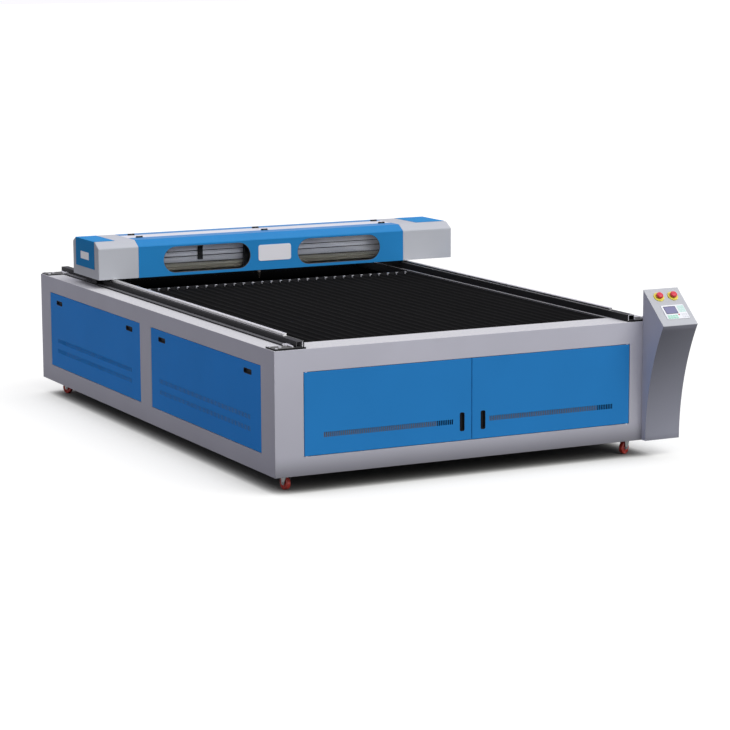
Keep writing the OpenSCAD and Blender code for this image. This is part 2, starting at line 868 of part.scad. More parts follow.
module front_door(x0, x1, pin_x, pull_x, vent_x0, vent_x1) {
    pull_z = door_sill + door_pull_up;
    color("steelblue") difference() {
        union() {
            folded_sheet(x0, x1, door_sill + panel_gap, door_sill + door_h - panel_gap,
                door_return_d);
            door_pin_blocks(pin_x);
        }
        vent_row(vent_x0, vent_x1, door_sill + door_vent_up, door_vent_w, door_vent_pitch);
        pull_hole(pull_x, pull_z, pull_w, pull_l);
        rod_z(pin_x, door_pin_y, door_sill, door_sill + door_h, door_pin_r + pin_play);
    }
    color("black") flush_pull(pull_x, pull_z, pull_w, pull_l);
}

module left_front_door() place()
    front_door(door_x0 + panel_gap, door_seam - panel_gap / 2,
        door_x0 + panel_gap + door_pin_in, door_seam - left_pull_in,
        door_x0 + panel_gap + door_vent_out, door_seam - door_vent_in);

module right_front_door() place()
    front_door(door_seam + panel_gap / 2, door_x1 - panel_gap,
        door_x1 - panel_gap - door_pin_in, door_seam + right_pull_in,
        door_seam + door_vent_in, door_x1 - panel_gap - right_vent_out);

// ---- bed ----

module bed_side_bar() difference() {
    block(bed_x0, bed_x0 + bed_side_w, bed_y0, bed_y1, bed_base, bed_top);
    block(bed_x0 + bed_t, bed_x0 + bed_side_w + cut, bed_y0 + bed_t, bed_y1 - bed_t,
        bed_base + bed_t, bed_top - bed_t);
}

module bed_frame() place() color("black") {
    bar_step = (bed_l - 2 * bed_t) / (blade_bar_count + 1);
    both_sides() bed_side_bar();
    block(bed_x0, bed_x1, bed_y0, bed_y0 + bed_t, bed_base, bed_top);
    block(bed_x0, bed_x1, bed_y1 - bed_t, bed_y1, bed_base, bed_top);
    for (i = [1 : blade_bar_count])
        block(bed_x0, bed_x1, bed_y0 + bed_t + i * bar_step,
            bed_y0 + 2 * bed_t + i * bar_step, bed_base, blade_base);
}

function blade_x(i) = body_w / 2 + (i - (blade_count - 1) / 2) * blade_pitch;

module bed_blades() place() color("dimgray")
    for (i = [0 : blade_count - 1])
        block(blade_x(i) - blade_t / 2, blade_x(i) + blade_t / 2,
            bed_y0 + bed_t, bed_y1 - bed_t, blade_base, blade_top);

// A saddle over the rear end of each blade
module blade_clips() place() color("silver") {
    clip_l = 14;
    clip_w = 12;
    clip_drop = 12;
    for (i = [0 : blade_count - 1]) difference() {
        block(blade_x(i) - clip_w / 2, blade_x(i) + clip_w / 2,
            bed_y1 - bed_t - clip_l, bed_y1 - bed_t, blade_top - clip_drop, blade_top + 3);
        block(blade_x(i) - blade_t / 2, blade_x(i) + blade_t / 2,
            bed_y1 - bed_t - clip_l - cut, bed_y1, blade_top - clip_drop - cut, blade_top);
    }
}

module rear_bay_sheet() place() color("black") difference() {
    block(bed_x0, bed_x1, bay_y0, bay_y1, bed_base, body_h - bay_drop);
    block(bed_x0 + bay_t, bed_x1 - bay_t, bay_y0 + bay_t, bay_y1 - bay_t,
        bed_base - cut, body_h - bay_drop - bay_t);
}

// ---- rails ----

module rail_base() {
    x0 = side_top_w - rail_base_w;
    block(x0, side_top_w, base_y0, base_y1, body_h, tube_z0);
    block(tube_x1, side_top_w, base_y0, base_y1, body_h, tube_top);
    block(front_plate_in, side_top_w, end_plate_y0, end_plate_y0 + end_plate_l, body_h, tube_z0);
    block(rear_plate_in, side_top_w, base_y1 - end_plate_l, base_y1, body_h, tube_z0);
}

module rail_bases() place() color("black") both_sides() rail_base();

module rail_tubes() place() color("black") both_sides() difference() {
    block(tube_x0, tube_x1, base_y0, base_y1, tube_z0, tube_top);
    block(tube_x0 + tube_t, tube_x1 - tube_t, base_y0 - cut, base_y1 + cut,
        tube_z0 + tube_t, tube_top - tube_t);
}

module guide_rails() place() color("lightgray") both_sides()
    block(guide_x0, guide_x1, guide_y0, guide_y1, tube_top, rail_top);

module drive_belts() place() color("gray") both_sides()
    block(belt_x0, belt_x1, clamp_y1, rear_clamp_y0, belt_z0, belt_z1);

// A hexagon screw standing on a rail end plate
module plate_screw(x, y, r, h)
    translate([x, y, tube_z0]) cylinder(h = h, r = r, $fn = 6);

// Clamps, corner screws, middle bolts and tensioner screws of one rail
module belt_clamp_set() {
    clamp_over = 3;
    corner_in = 14;
    corner_r = 8;
    corner_h = 6;
    bolt_in = 57;
    bolt_r = 9;
    bolt_h = 8;
    plate_mid = end_plate_l / 2;
    tension_r = 5;
    tension_l = 60;
    tension_x = belt_x0 + belt_w / 2;
    tension_z = tube_z0 + tension_r;
    for (y = [clamp_y0, rear_clamp_y0])
        block(belt_x0 - clamp_over, belt_x1 + belt_gap - clear, y, y + clamp_l,
            tube_z0, tube_z0 + clamp_h);
    for (y = [end_plate_y0, base_y1 - end_plate_l]) {
        plate_screw(front_plate_in + corner_in, y + corner_in, corner_r, corner_h);
        plate_screw(front_plate_in + corner_in, y + end_plate_l - corner_in, corner_r, corner_h);
        plate_screw(front_plate_in + bolt_in, y + plate_mid, bolt_r, bolt_h);
    }
    rod_y(tension_x, clamp_y0 - tension_l, clamp_y0, tension_z, tension_r);
    rod_y(tension_x, rear_clamp_y0 + clamp_l, rear_clamp_y0 + clamp_l + tension_l,
        tension_z, tension_r);
}

module belt_clamps() place() color("silver") both_sides() belt_clamp_set();

// ---- console ----

module console_profile(inset) difference() {
    polygon([
        [-inset, inset],
        [-inset, console_h - inset],
        [-console_arc_y - cut, console_arc_z - cut * tan(panel_tilt)],
        [-console_arc_y - cut, inset]
    ]);
    translate([-console_foot_d - console_arc_r, 0])
        circle(r = console_arc_r + inset, $fn = 720);
}

// Turns the y-z outline into a solid between two x positions
module along_x(x0, x1)
    translate([x0, 0, 0]) rotate([90, 0, 90]) linear_extrude(x1 - x0) children();

// The control panel's own frame: x across, y up the slope, z out of the panel
module on_panel() translate([0, 0, console_h]) rotate([panel_tilt, 0, 0]) children();

module below_plate() on_panel()
    block(console_x0 - cut, console_x1 + cut, -panel_l - 20, 20, -console_plate_t, 60);

module console_shell() place() color("darkgray") difference() {
    along_x(console_x0, console_x1) console_profile(0);
    along_x(console_x0 + console_t, console_x1 - console_t) console_profile(console_t);
    below_plate();
    on_panel() block(console_x0 + console_lap, console_x1 - console_lap,
        -panel_l + console_lap, -console_lap, -30, 0);
    block(console_x0 + console_lap, body_w - 10, -console_t - cut, cut,
        door_sill, door_sill + door_h);
}

module stop_places() for (i = [0, 1])
    on_panel() translate([console_x0 + stop_in + i * stop_pitch, -stop_down, 0]) children();

module control_panel() place() color("whitesmoke") difference() {
    on_panel() block(console_x0, console_x1, -panel_l, 0, -console_plate_t, 0);
    stop_places() translate([0, 0, -console_plate_t - cut])
        cylinder(h = console_plate_t + 2 * cut, r = stem_r + 2);
}

// Corner of the controller plate, on the panel
module on_controller() on_panel()
    translate([console_x0 + controller_in, -controller_down - controller_h, 0]) children();

module controller_plate() place() color("white") on_controller()
    cube([controller_w, controller_h, controller_t]);

// Keys in rows: first corner, size of one key, and the step to the next across and up
module key_block(first, size, step, columns, rows, key_h)
    for (row = [0 : rows - 1], col = [0 : columns - 1])
        translate([first[0] + col * step[0], first[1] + row * step[1], controller_t])
            cube([size[0], size[1], key_h]);

// Display, menu keys, key rows and lamp, each resting on the controller plate
module panel_keys() place() on_controller() {
    key_h = 1.5;
    screen_h = 1;
    lamp_x = 90;
    lamp_y = 31;
    lamp_r = 4;
    color("lightsteelblue") key_block([13, 42], [77, 53], [0, 0], 1, 1, screen_h);
    color("palegreen") key_block([104, 49], [13, 10], [15.5, 13], 3, 4, key_h);
    color("mediumseagreen") key_block([9, 3], [15, 12], [18, 15], 4, 2, key_h);
    color("white") key_block([109, 7], [11, 12], [14, 18], 3, 2, key_h);
    color("red") translate([lamp_x, lamp_y, controller_t]) cylinder(h = key_h, r = lamp_r);
}

module estop_collars() place() color("gold") stop_places() difference() {
    cylinder(h = collar_t, r = collar_r);
    translate([0, 0, -cut]) cylinder(h = collar_t + 2 * cut, r = stem_r + pin_play);
}

module estop_button(i) place()
    on_panel() translate([console_x0 + stop_in + i * stop_pitch, -stop_down, 0]) {
        color("black") translate([0, 0, -console_plate_t - 6])
            cylinder(h = console_plate_t + 6 + cap_up + 1, r = stem_r);
        color("crimson") translate([0, 0, cap_up]) cylinder(h = cap_h * 0.6, r = cap_r);
        color("crimson") translate([0, 0, cap_up + cap_h * 0.6])
            cylinder(h = cap_h * 0.4, r1 = cap_r, r2 = cap_r * 0.8);
    }

module left_estop_button() estop_button(0);

module right_estop_button() estop_button(1);

// ---- rear fittings ----

module exhaust_collars() place() color("lightgray") both_sides()
    translate([exhaust_in, body_d, exhaust_z]) rotate([-90, 0, 0]) difference() {
        union() {
            cylinder(h = exhaust_l, r = exhaust_r);
            cylinder(h = exhaust_t, r = exhaust_r + exhaust_flange);
        }
        translate([0, 0, -cut])
            cylinder(h = exhaust_l + 2 * cut, r = exhaust_r - exhaust_t);
    }

// Plate with the mains inlet and two hose fittings for the cooling water
module service_panel() place() color("dimgray") {
    plate_in = 220;
    plate_x = body_w - side_post_w - plate_in;
    plate_z = exhaust_z - 100;
    plate_w = 200;
    plate_h = 130;
    plate_t = 2;
    inlet_x = plate_x + 20;
    inlet_z = plate_z + 45;
    inlet_w = 60;
    inlet_h = 40;
    inlet_out = 20;
    inlet_t = 4;
    fitting_z = plate_z + plate_h / 2;
    fitting_x = [plate_x + 120, plate_x + 165];
    fitting_out = 32;
    fitting_r = 7;
    fitting_bore = 4;
    difference() {
        union() {
            block(plate_x, plate_x + plate_w, body_d, body_d + plate_t,
                plate_z, plate_z + plate_h);
            block(inlet_x, inlet_x + inlet_w, body_d, body_d + inlet_out,
                inlet_z, inlet_z + inlet_h);
            for (x = fitting_x)
                rod_y(x, body_d, body_d + fitting_out, fitting_z, fitting_r);
        }
        block(inlet_x + inlet_t, inlet_x + inlet_w - inlet_t, body_d + inlet_t,
            body_d + inlet_out + cut, inlet_z + inlet_t, inlet_z + inlet_h - inlet_t);
        for (x = fitting_x)
            rod_y(x, body_d + plate_t, body_d + fitting_out + cut, fitting_z, fitting_bore);
    }
}

// ---- casters ----

// A caster's own frame: kingpin on z, the wheel along y before it turns
module caster_at(x, y, turn = 0) translate([x, y - trail, 0]) rotate([0, 0, -turn]) children();

// Plate, boss and kingpin with its head below the fork
module caster_plate() {
    boss_r = 2.5 * kingpin_r;
    head_r = kingpin_r + 4;
    head_top = fork_top - fork_t - clear;
    block(-caster_plate_w / 2, caster_plate_w / 2, -caster_plate_l / 2, caster_plate_l / 2,
        -caster_plate_t, 0);
    rod_z(0, 0, fork_top + clear, -caster_plate_t, boss_r);
    rod_z(0, 0, head_top - kingpin_head_t, -caster_plate_t, kingpin_r);
    rod_z(0, 0, head_top - kingpin_head_t, head_top, head_r);
}

module caster_plates() place() color("silver") {
    for (x = [wheel_in_x, body_w - wheel_in_x], y = [wheel_in_y, body_d - wheel_in_y])
        caster_at(x, y) caster_plate();
}

module fork_leg(leg_half, leg_end, foot) rotate([90, 0, 90]) linear_extrude(fork_t) polygon([
    [-leg_half, fork_top - fork_t / 2],
    [leg_end, fork_top - fork_t / 2],
    [trail + foot, axle_z - foot],
    [trail - foot, axle_z - foot]
]);

module caster_fork(x, y, turn) place() color("silver") caster_at(x, y, turn) {
    leg_gap = 2;
    leg_x = wheel_w / 2 + leg_gap;
    leg_half = kingpin_r + 10;
    leg_end = trail + 14;
    foot = 9;
    nut_t = 3;
    difference() {
        union() {
            block(-leg_x - fork_t, leg_x + fork_t, -leg_half, leg_end,
                fork_top - fork_t, fork_top);
            for (s = [-leg_x - fork_t, leg_x])
                translate([s, 0, 0]) fork_leg(leg_half, leg_end, foot);
        }
        rod_z(0, 0, fork_top - fork_t - cut, fork_top + cut, kingpin_r + pin_play);
    }
    rod_x(-leg_x - fork_t - nut_t, leg_x + fork_t + nut_t, trail, axle_z, axle_r);
}

module caster_wheel(x, y, turn) place() color("firebrick") caster_at(x, y, turn) {
    hub_r = axle_r + 5;
    hub_out = 1.5;
    difference() {
        union() {
            rod_x(-wheel_w / 2, wheel_w / 2, trail, axle_z, wheel_r);
            rod_x(-wheel_w / 2 - hub_out, wheel_w / 2 + hub_out, trail, axle_z, hub_r);
        }
        rod_x(-wheel_w, wheel_w, trail, axle_z, axle_r + pin_play);
    }
}

module caster_fork_fl() caster_fork(wheel_in_x, wheel_in_y, turn_fl);

module caster_fork_fr() caster_fork(body_w - wheel_in_x, wheel_in_y, turn_fr);

module caster_fork_rl() caster_fork(wheel_in_x, body_d - wheel_in_y, turn_rl);

module caster_fork_rr() caster_fork(body_w - wheel_in_x, body_d - wheel_in_y, turn_rr);

module caster_wheel_fl() caster_wheel(wheel_in_x, wheel_in_y, turn_fl);

module caster_wheel_fr() caster_wheel(body_w - wheel_in_x, wheel_in_y, turn_fr);

module caster_wheel_rl() caster_wheel(wheel_in_x, body_d - wheel_in_y, turn_rl);

module caster_wheel_rr() caster_wheel(body_w - wheel_in_x, body_d - wheel_in_y, turn_rr);

// ---- gantry structure ----

module gantry_beam() place() color("silver") {
    slot_over_rail = 15;
    slots = [x_rail_up + x_rail_h + slot_over_rail, 80, 113];
    left_post_in = 170;
    right_post_in = 250;
    post_x = [cover_x0 + left_post_in, body_w / 2, cover_x1 - right_post_in];
    post_t = 6;
    post_w = 60;
    cradle_t = 5;
    cradle_z1 = laser_z - laser_r - clear;
    cradle_y1 = laser_y + 0.6 * laser_r;
    idler_half = 18;
    idler_t = 6;
    idler_over = 14;
    idler_pin_r = 4;
    idler_y = x_axis_y + x_belt_w / 2 + 4;
    difference() {
        block(beam_in, body_w - beam_in, beam_y0, beam_y1, truck_z1, beam_top);
        block(beam_in - cut, body_w - beam_in + cut, beam_y0 + beam_t, beam_y1 - beam_t,
            truck_z1 + beam_t, beam_top - beam_t);
        for (z = slots)
            block(beam_in - cut, body_w - beam_in + cut, beam_y0 - cut,
                beam_y0 + beam_slot_d, truck_z1 + z - beam_slot_h / 2,
                truck_z1 + z + beam_slot_h / 2);
    }
    // Posts under the top strip
    for (x = post_x)
        block(x - post_w / 2, x + post_w / 2, beam_y1, beam_y1 + post_t,
            beam_top - post_w, strip_z0);
    // Arms under the laser tube
    for (x = [laser_x0 + cradle_in, laser_x1 - cradle_in])
        block(x - cradle_w / 2, x + cradle_w / 2, beam_y1, cradle_y1,
            cradle_z1 - cradle_t, cradle_z1);
    // Bracket and pin of the idler pulley
    block(x_idler_x - idler_half, x_idler_x + idler_half, idler_y, idler_y + idler_t,
        beam_top, x_axis_z + idler_over);
    rod_y(x_idler_x, idler_y - x_belt_w - idler_t - 1, idler_y, x_axis_z, idler_pin_r);
}

// Rail block: a saddle over the guide rail
module bearing_block(y) difference() {
    block(rail_mid - bearing_w / 2, rail_mid + bearing_w / 2,
        y - bearing_l / 2, y + bearing_l / 2, tube_top + bearing_up, truck_z0);
    block(guide_x0 - slide_play, guide_x1 + slide_play,
        y - bearing_l / 2 - cut, y + bearing_l / 2 + cut, tube_top, rail_top + slide_play);
}

module shaft_block() difference() {
    x0 = belt_x1 + 55;
    half = shaft_back - beam_slot_h;
    block(x0, x0 + 30, shaft_y - half, shaft_y + half, truck_z1, shaft_z + shaft_r + 15);
    rod_x(x0 - cut, x0 + 31, shaft_y, shaft_z, shaft_r + pin_play);
}

// Plate, bearing blocks, shaft block and belt guides of one side
module truck() {
    slot_half = loop_r1 + 3;
    guide_plate_t = 6;
    edge = 20;
    tab_w = 90;
    difference() {
        union() {
            block(truck_outer, truck_in, gantry_y0 + edge, gantry_y1 - edge,
                truck_z0, truck_z1);
            block(truck_outer, truck_outer + tab_w, gantry_y0 + cap_t, gantry_y1 - cap_t,
                truck_z0, truck_z1);
        }
        block(belt_x0 - 2, belt_x1 + 2, shaft_y - slot_half, shaft_y + slot_half,
            truck_z0 - cut, truck_z1 + cut);
    }
    bearing_block(gantry_y0 + bearing_y);
    bearing_block(gantry_y1 - bearing_y);
    shaft_block();
    block(truck_outer, truck_outer + guide_plate_t, shaft_y - guide_rod_y - guide_rod_r,
        shaft_y + guide_rod_y + guide_rod_r, loop_base, truck_z0);
    for (s = [-1, 1])
        rod_x(truck_outer + guide_plate_t - cut, belt_x1, shaft_y + s * guide_rod_y,
            guide_rod_z, guide_rod_r);
}

module gantry_trucks() place() color("gray") {
    shelf_half = drive_motor_w / 2 + 20;
    both_sides() truck();
    // Shelf of the travel motor
    block(body_w - truck_outer - cut, drive_motor_x0 + drive_motor_l + 5,
        shaft_y - shelf_half, shaft_y + shelf_half, truck_z0, truck_z1);
}

// Outline of the gantry in y and z, drawn inward by inset and open at the bottom
module gantry_profile(inset) {
    front = atan2(front_chamfer_z, front_chamfer_y);
    rear = atan2(rear_chamfer_z, rear_chamfer_y);
    base = gantry_z0 - (inset > 0 ? cut : 0);
    polygon([
        [gantry_y0 + inset, base],
        [gantry_y0 + inset, gantry_z1 - front_chamfer_z - inset * tan(45 - front / 2)],
        [gantry_y0 + front_chamfer_y + inset * tan(front / 2), gantry_z1 - inset],
        [gantry_y1 - rear_chamfer_y - inset * tan(rear / 2), gantry_z1 - inset],
        [gantry_y1 - inset, gantry_z1 - rear_chamfer_z - inset * tan(45 - rear / 2)],
        [gantry_y1 - inset, base]
    ]);
}

module gantry_shell(x0, x1, sheet) along_x(x0, x1) difference() {
    gantry_profile(0);
    gantry_profile(sheet);
}

// Where the hatches lie: x0, x1 of the part on top, y0, y1
left_hatch = [left_cap_in, left_cap_in + left_hatch_w,
    gantry_y0 + left_hatch_y, gantry_y0 + left_hatch_y + left_hatch_l];
right_hatch = [right_cap_x1 - right_hatch_w, right_cap_x1,
    gantry_y0 + right_hatch_y, gantry_y0 + right_hatch_y + right_hatch_l];

// The hole that a hatch covers, in the top and the end of its cap
module hatch_hole(h, x0, x1) {
    block(h[0] + hatch_lap, h[1] - hatch_lap, h[2] + hatch_lap, h[3] - hatch_lap,
        gantry_z1 - cap_t - cut, gantry_z1 + cut);
    block(x0, x1, h[2] + hatch_lap, h[3] - hatch_lap,
        gantry_z1 - hatch_h + hatch_lap, gantry_z1 - hatch_lap);
}

module end_caps() place() color("silver") {
    difference() {
        union() {
            gantry_shell(left_cap_in, left_cap_x1, cap_t);
            along_x(left_cap_in, left_cap_in + cap_t) gantry_profile(0);
        }
        hatch_hole(left_hatch, left_cap_in - cut, left_cap_in + cap_t + cut);
    }
    difference() {
        union() {
            gantry_shell(right_cap_x0, right_cap_x1, cap_t);
            along_x(right_cap_x1 - cap_t, right_cap_x1) gantry_profile(0);
        }
        hatch_hole(right_hatch, right_cap_x1 - cap_t - cut, right_cap_x1 + cut);
    }
}

module end_hatches() place() color("steelblue") {
    hatch_z0 = gantry_z1 - hatch_h;
    block(left_hatch[0] - hatch_t, left_hatch[1], left_hatch[2], left_hatch[3],
        gantry_z1, gantry_z1 + hatch_t);
    block(left_hatch[0] - hatch_t, left_hatch[0], left_hatch[2], left_hatch[3],
        hatch_z0, gantry_z1 + hatch_t);
    block(right_hatch[0], right_hatch[1] + hatch_t, right_hatch[2], right_hatch[3],
        gantry_z1, gantry_z1 + hatch_t);
    block(right_hatch[1], right_hatch[1] + hatch_t, right_hatch[2], right_hatch[3],
        hatch_z0, gantry_z1 + hatch_t);
}

module top_strip() place() color("whitesmoke")
    block(cover_x0, cover_x1, strip_y0 + cover_gap / 2, strip_y1 - cover_gap / 2,
        strip_z0, gantry_z1);

// ---- cover hinges: drawn at the origin, leaf towards +y, axis along x ----

knuckle_x = mid_knuckle_l / 2 + knuckle_gap;
leaf_y0 = knuckle_r + knuckle_gap;

// The half with the two outer knuckles and the pin
module fixed_hinge_half() {
    half = hinge_l / 2;
    for (s = [0, 1]) mirror([s, 0, 0]) {
        rod_x(knuckle_x, half, 0, knuckle_r, knuckle_r);
        block(knuckle_x, half, 0, hinge_w / 2, 0, leaf_t);
    }
    block(-half, half, leaf_y0, hinge_w / 2, 0, leaf_t);
    rod_x(-half, half, 0, knuckle_r, hinge_pin_r);
}

// The half with the bored middle knuckle, leaf towards -y
module moving_hinge_half() {
    half = hinge_l / 2;
    difference() {
        union() {
            rod_x(-mid_knuckle_l / 2, mid_knuckle_l / 2, 0, knuckle_r, knuckle_r);
            block(-mid_knuckle_l / 2, mid_knuckle_l / 2, -hinge_w / 2, 0, 0, leaf_t);
            block(-half, half, -hinge_w / 2, -leaf_y0, 0, leaf_t);
        }
        rod_x(-half, half, 0, knuckle_r, hinge_pin_r + pin_play);
    }
}

module cover_hinges() place() color("black") {
    for (x = front_hinges)
        translate([x, strip_y0, gantry_z1]) fixed_hinge_half();
    for (x = rear_hinges)
        translate([x, strip_y1, gantry_z1]) mirror([0, 1, 0]) fixed_hinge_half();
}

// ---- covers ----

// A slot with round ends in x and z
module stadium(x0, len, z0, h) {
    r = h / 2;
    translate([x0 + r, z0]) square([len - h, h]);
    for (x = [x0 + r, x0 + len - r])
        translate([x, z0 + r]) circle(r = r, $fn = 96);
}

module along_y(y0, y1)
    translate([0, y1, 0]) rotate([90, 0, 0]) linear_extrude(y1 - y0) children();

module front_cover() place() {
    color("steelblue") difference() {
        intersection() {
            gantry_shell(cover_x0, cover_x1, cover_t);
            block(cover_x0 - cut, cover_x1 + cut, gantry_y0 - cut,
                strip_y0 - cover_gap / 2, gantry_z0 - cut, gantry_z1 + cut);
        }
        along_y(gantry_y0 - cut, gantry_y0 + cover_t + cut) {
            stadium(left_window_x0, left_window_l, window_z0, window_h);
            stadium(right_window_x0, right_window_l, window_z0, window_h);
        }
    }
    color("black") for (x = front_hinges)
        translate([x, strip_y0, gantry_z1]) moving_hinge_half();
}

module window_panes() place() color("lightgray", 0.4)
    for (w = [[left_window_x0, left_window_l], [right_window_x0, right_window_l]])
        block(w[0] - pane_margin, w[0] + w[1] + pane_margin,
            gantry_y0 + cover_t, gantry_y0 + cover_t + pane_t,
            window_z0 - pane_margin, window_z0 + window_h + pane_margin);

module rear_cover() place() {
    color("steelblue") intersection() {
        gantry_shell(cover_x0, cover_x1, cover_t);
        block(cover_x0 - cut, cover_x1 + cut, strip_y1 + cover_gap / 2,
            gantry_y1 + cut, gantry_z0 - cut, gantry_z1 + cut);
    }
    color("black") for (x = rear_hinges)
        translate([x, strip_y1, gantry_z1]) mirror([0, 1, 0]) moving_hinge_half();
}

// ---- inside the gantry ----

module laser_tube() place() color("lavender") {
    cap_l = 20;
    rod_x(laser_x0, laser_x1, laser_y, laser_z, laser_r);
    rod_x(laser_x0 - cap_l, laser_x1 + cap_l, laser_y, laser_z, laser_r - 5);
}

module motors() place() color("black") {
    block(drive_motor_x0, drive_motor_x0 + drive_motor_l,
        shaft_y - drive_motor_w / 2, shaft_y + drive_motor_w / 2,
        truck_z1, truck_z1 + drive_motor_w);
    block(x_drive_x - x_motor_w / 2, x_drive_x + x_motor_w / 2,
        x_motor_y0, x_motor_y0 + x_motor_w, beam_top, beam_top + x_motor_w);
}

// A belt round two pulleys that lie dx apart
module belt_outline(dx, r) {
    translate([0, -r]) square([dx, 2 * r]);
    for (x = [0, dx])
        translate([x, 0]) circle(r = r);
}

module x_belt() place() color("black")
    translate([x_idler_x, x_axis_y + x_belt_w / 2, x_axis_z]) rotate([90, 0, 0])
        linear_extrude(x_belt_w) difference() {
            belt_outline(x_drive_x - x_idler_x, x_loop_r1);
            belt_outline(x_drive_x - x_idler_x, x_loop_r0);
        }

// The upright loop of a drive belt round its pulley, open at the bottom
module belt_loop() {
    drop = shaft_z - loop_base;
    along_x(belt_x0, belt_x1) translate([shaft_y, shaft_z]) difference() {
        union() {
            circle(r = loop_r1);
            translate([-loop_r1, -drop]) square([2 * loop_r1, drop]);
        }
        circle(r = loop_r0);
        translate([-loop_r0, -drop - cut]) square([2 * loop_r0, drop + cut]);
    }
}

module belt_loops() place() color("gray") both_sides() belt_loop();

module x_guide_rail() place() color("lightgray")
    block(cover_x0 + 10, cover_x1 - 10, x_rail_y0, beam_y0, x_rail_z0,
        x_rail_z0 + x_rail_h);

module sensor_bracket() place() color("dimgray") {
    bracket_w = 49;
    bracket_h = 98;
    bracket_t = 10;
    bracket_in = 420;
    bracket_up = 66;
    bracket_x = cover_x0 + bracket_in;
    bracket_z = truck_z1 + bracket_up;
    along_y(beam_y0 - bracket_t, beam_y0) intersection() {
        translate([bracket_x, bracket_z]) square([bracket_w, bracket_h]);
        translate([bracket_x + bracket_w, bracket_z]) circle(r = bracket_h, $fn = 96);
    }
}

module drive_shaft() place() color("lightgray") {
    rod_x(truck_outer + 6 + 2, drive_motor_x0 - clear, shaft_y, shaft_z, shaft_r);
    both_sides() rod_x(belt_x0, belt_x1, shaft_y, shaft_z, pulley_r);
}

module x_drive_pulley() place() color("silver") {
    rod_y(x_drive_x, x_axis_y - x_belt_w / 2 - 2, x_axis_y + x_belt_w / 2 + 2,
        x_axis_z, x_pulley_r);
    rod_y(x_drive_x, x_axis_y, x_motor_y0, x_axis_z, 2.5);
}

module x_idler_pulley() place() color("silver") difference() {
    rod_y(x_idler_x, x_axis_y - x_belt_w / 2 - 2, x_axis_y + x_belt_w / 2 + 2,
        x_axis_z, x_pulley_r);
    rod_y(x_idler_x, x_axis_y - x_belt_w, x_axis_y + x_belt_w, x_axis_z, 4 + pin_play);
}

module carriage() place() color("dimgray") {
    x0 = carriage_x - carriage_w / 2;
    x1 = carriage_x + carriage_w / 2;
    arm_z0 = beam_top + 1;
    arm_z1 = x_axis_z - x_loop_r1 - clear;
    arm_half = 30;
    block_over = 10;
    holder_half = head_r + 6;
    difference() {
        union() {
            block(x0, x1, plate_y0, plate_y1, x_rail_z0 - block_over, arm_z1);
            block(x0 + 20, x1 - 20, plate_y1 - cut, beam_y0 - 3,
                x_rail_z0 - block_over, x_rail_z0 + x_rail_h + block_over);
        }
        block(x0, x1, x_rail_y0 - slide_play, beam_y0, x_rail_z0 - slide_play,
            x_rail_z0 + x_rail_h + slide_play);
    }
    // Arm over the beam to the belt
    block(carriage_x - arm_half, carriage_x + arm_half, plate_y0,
        x_axis_y + x_belt_w / 2 + 3, arm_z0, arm_z1);
    // Bored holder of the laser head
    difference() {
        block(carriage_x - holder_half, carriage_x + holder_half,
            head_y - head_r - 3, plate_y0 + cut, holder_z0, holder_z0 + holder_h);
        rod_z(carriage_x, head_y, holder_z0 - cut, holder_z0 + holder_h + cut,
            head_r + pin_play);
    }
}

module laser_head() place() color("gold") difference() {
    union() {
        rod_z(carriage_x, head_y, head_z0, head_z1, head_r);
        translate([carriage_x, head_y, nozzle_z])
            cylinder(h = nozzle_h, r1 = nozzle_r, r2 = head_r);
    }
    rod_z(carriage_x, head_y, nozzle_z - cut, head_z1 - 10, nozzle_bore_r);
}

base_frame();
front_skin();
rear_skin();
left_skin();
right_skin();
floor_pan();
bed_frame();
bed_blades();
blade_clips();
rear_bay_sheet();
rail_bases();
rail_tubes();
guide_rails();
drive_belts();
belt_clamps();
console_shell();
control_panel();
controller_plate();
panel_keys();
estop_collars();
exhaust_collars();
service_panel();
door_hinges();
caster_plates();
caster_fork_fl();
caster_fork_fr();
caster_fork_rl();
caster_fork_rr();
caster_wheel_fl();
caster_wheel_fr();
caster_wheel_rl();
caster_wheel_rr();
left_front_door();
right_front_door();
left_front_panel();
left_rear_panel();
right_front_panel();
right_rear_panel();
left_estop_button();
right_estop_button();
gantry_beam();
gantry_trucks();
end_caps();
end_hatches();
top_strip();
cover_hinges();
laser_tube();
motors();
x_belt();
belt_loops();
x_guide_rail();
sensor_bracket();
front_cover();
window_panes();
rear_cover();
drive_shaft();
x_drive_pulley();
x_idler_pulley();
carriage();
laser_head();
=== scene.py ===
"""Looks of the flatbed laser cutter.

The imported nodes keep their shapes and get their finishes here. Pieces whose plain solids are too simple
are built again in more detail: doors, side panels, covers, caps, rails, wheels, stops and keys.
Everything is in metres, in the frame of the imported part: x to the right, y to the back, z up.
"""

import json
import math

import bmesh
import bpy
from mathutils import Matrix, Vector

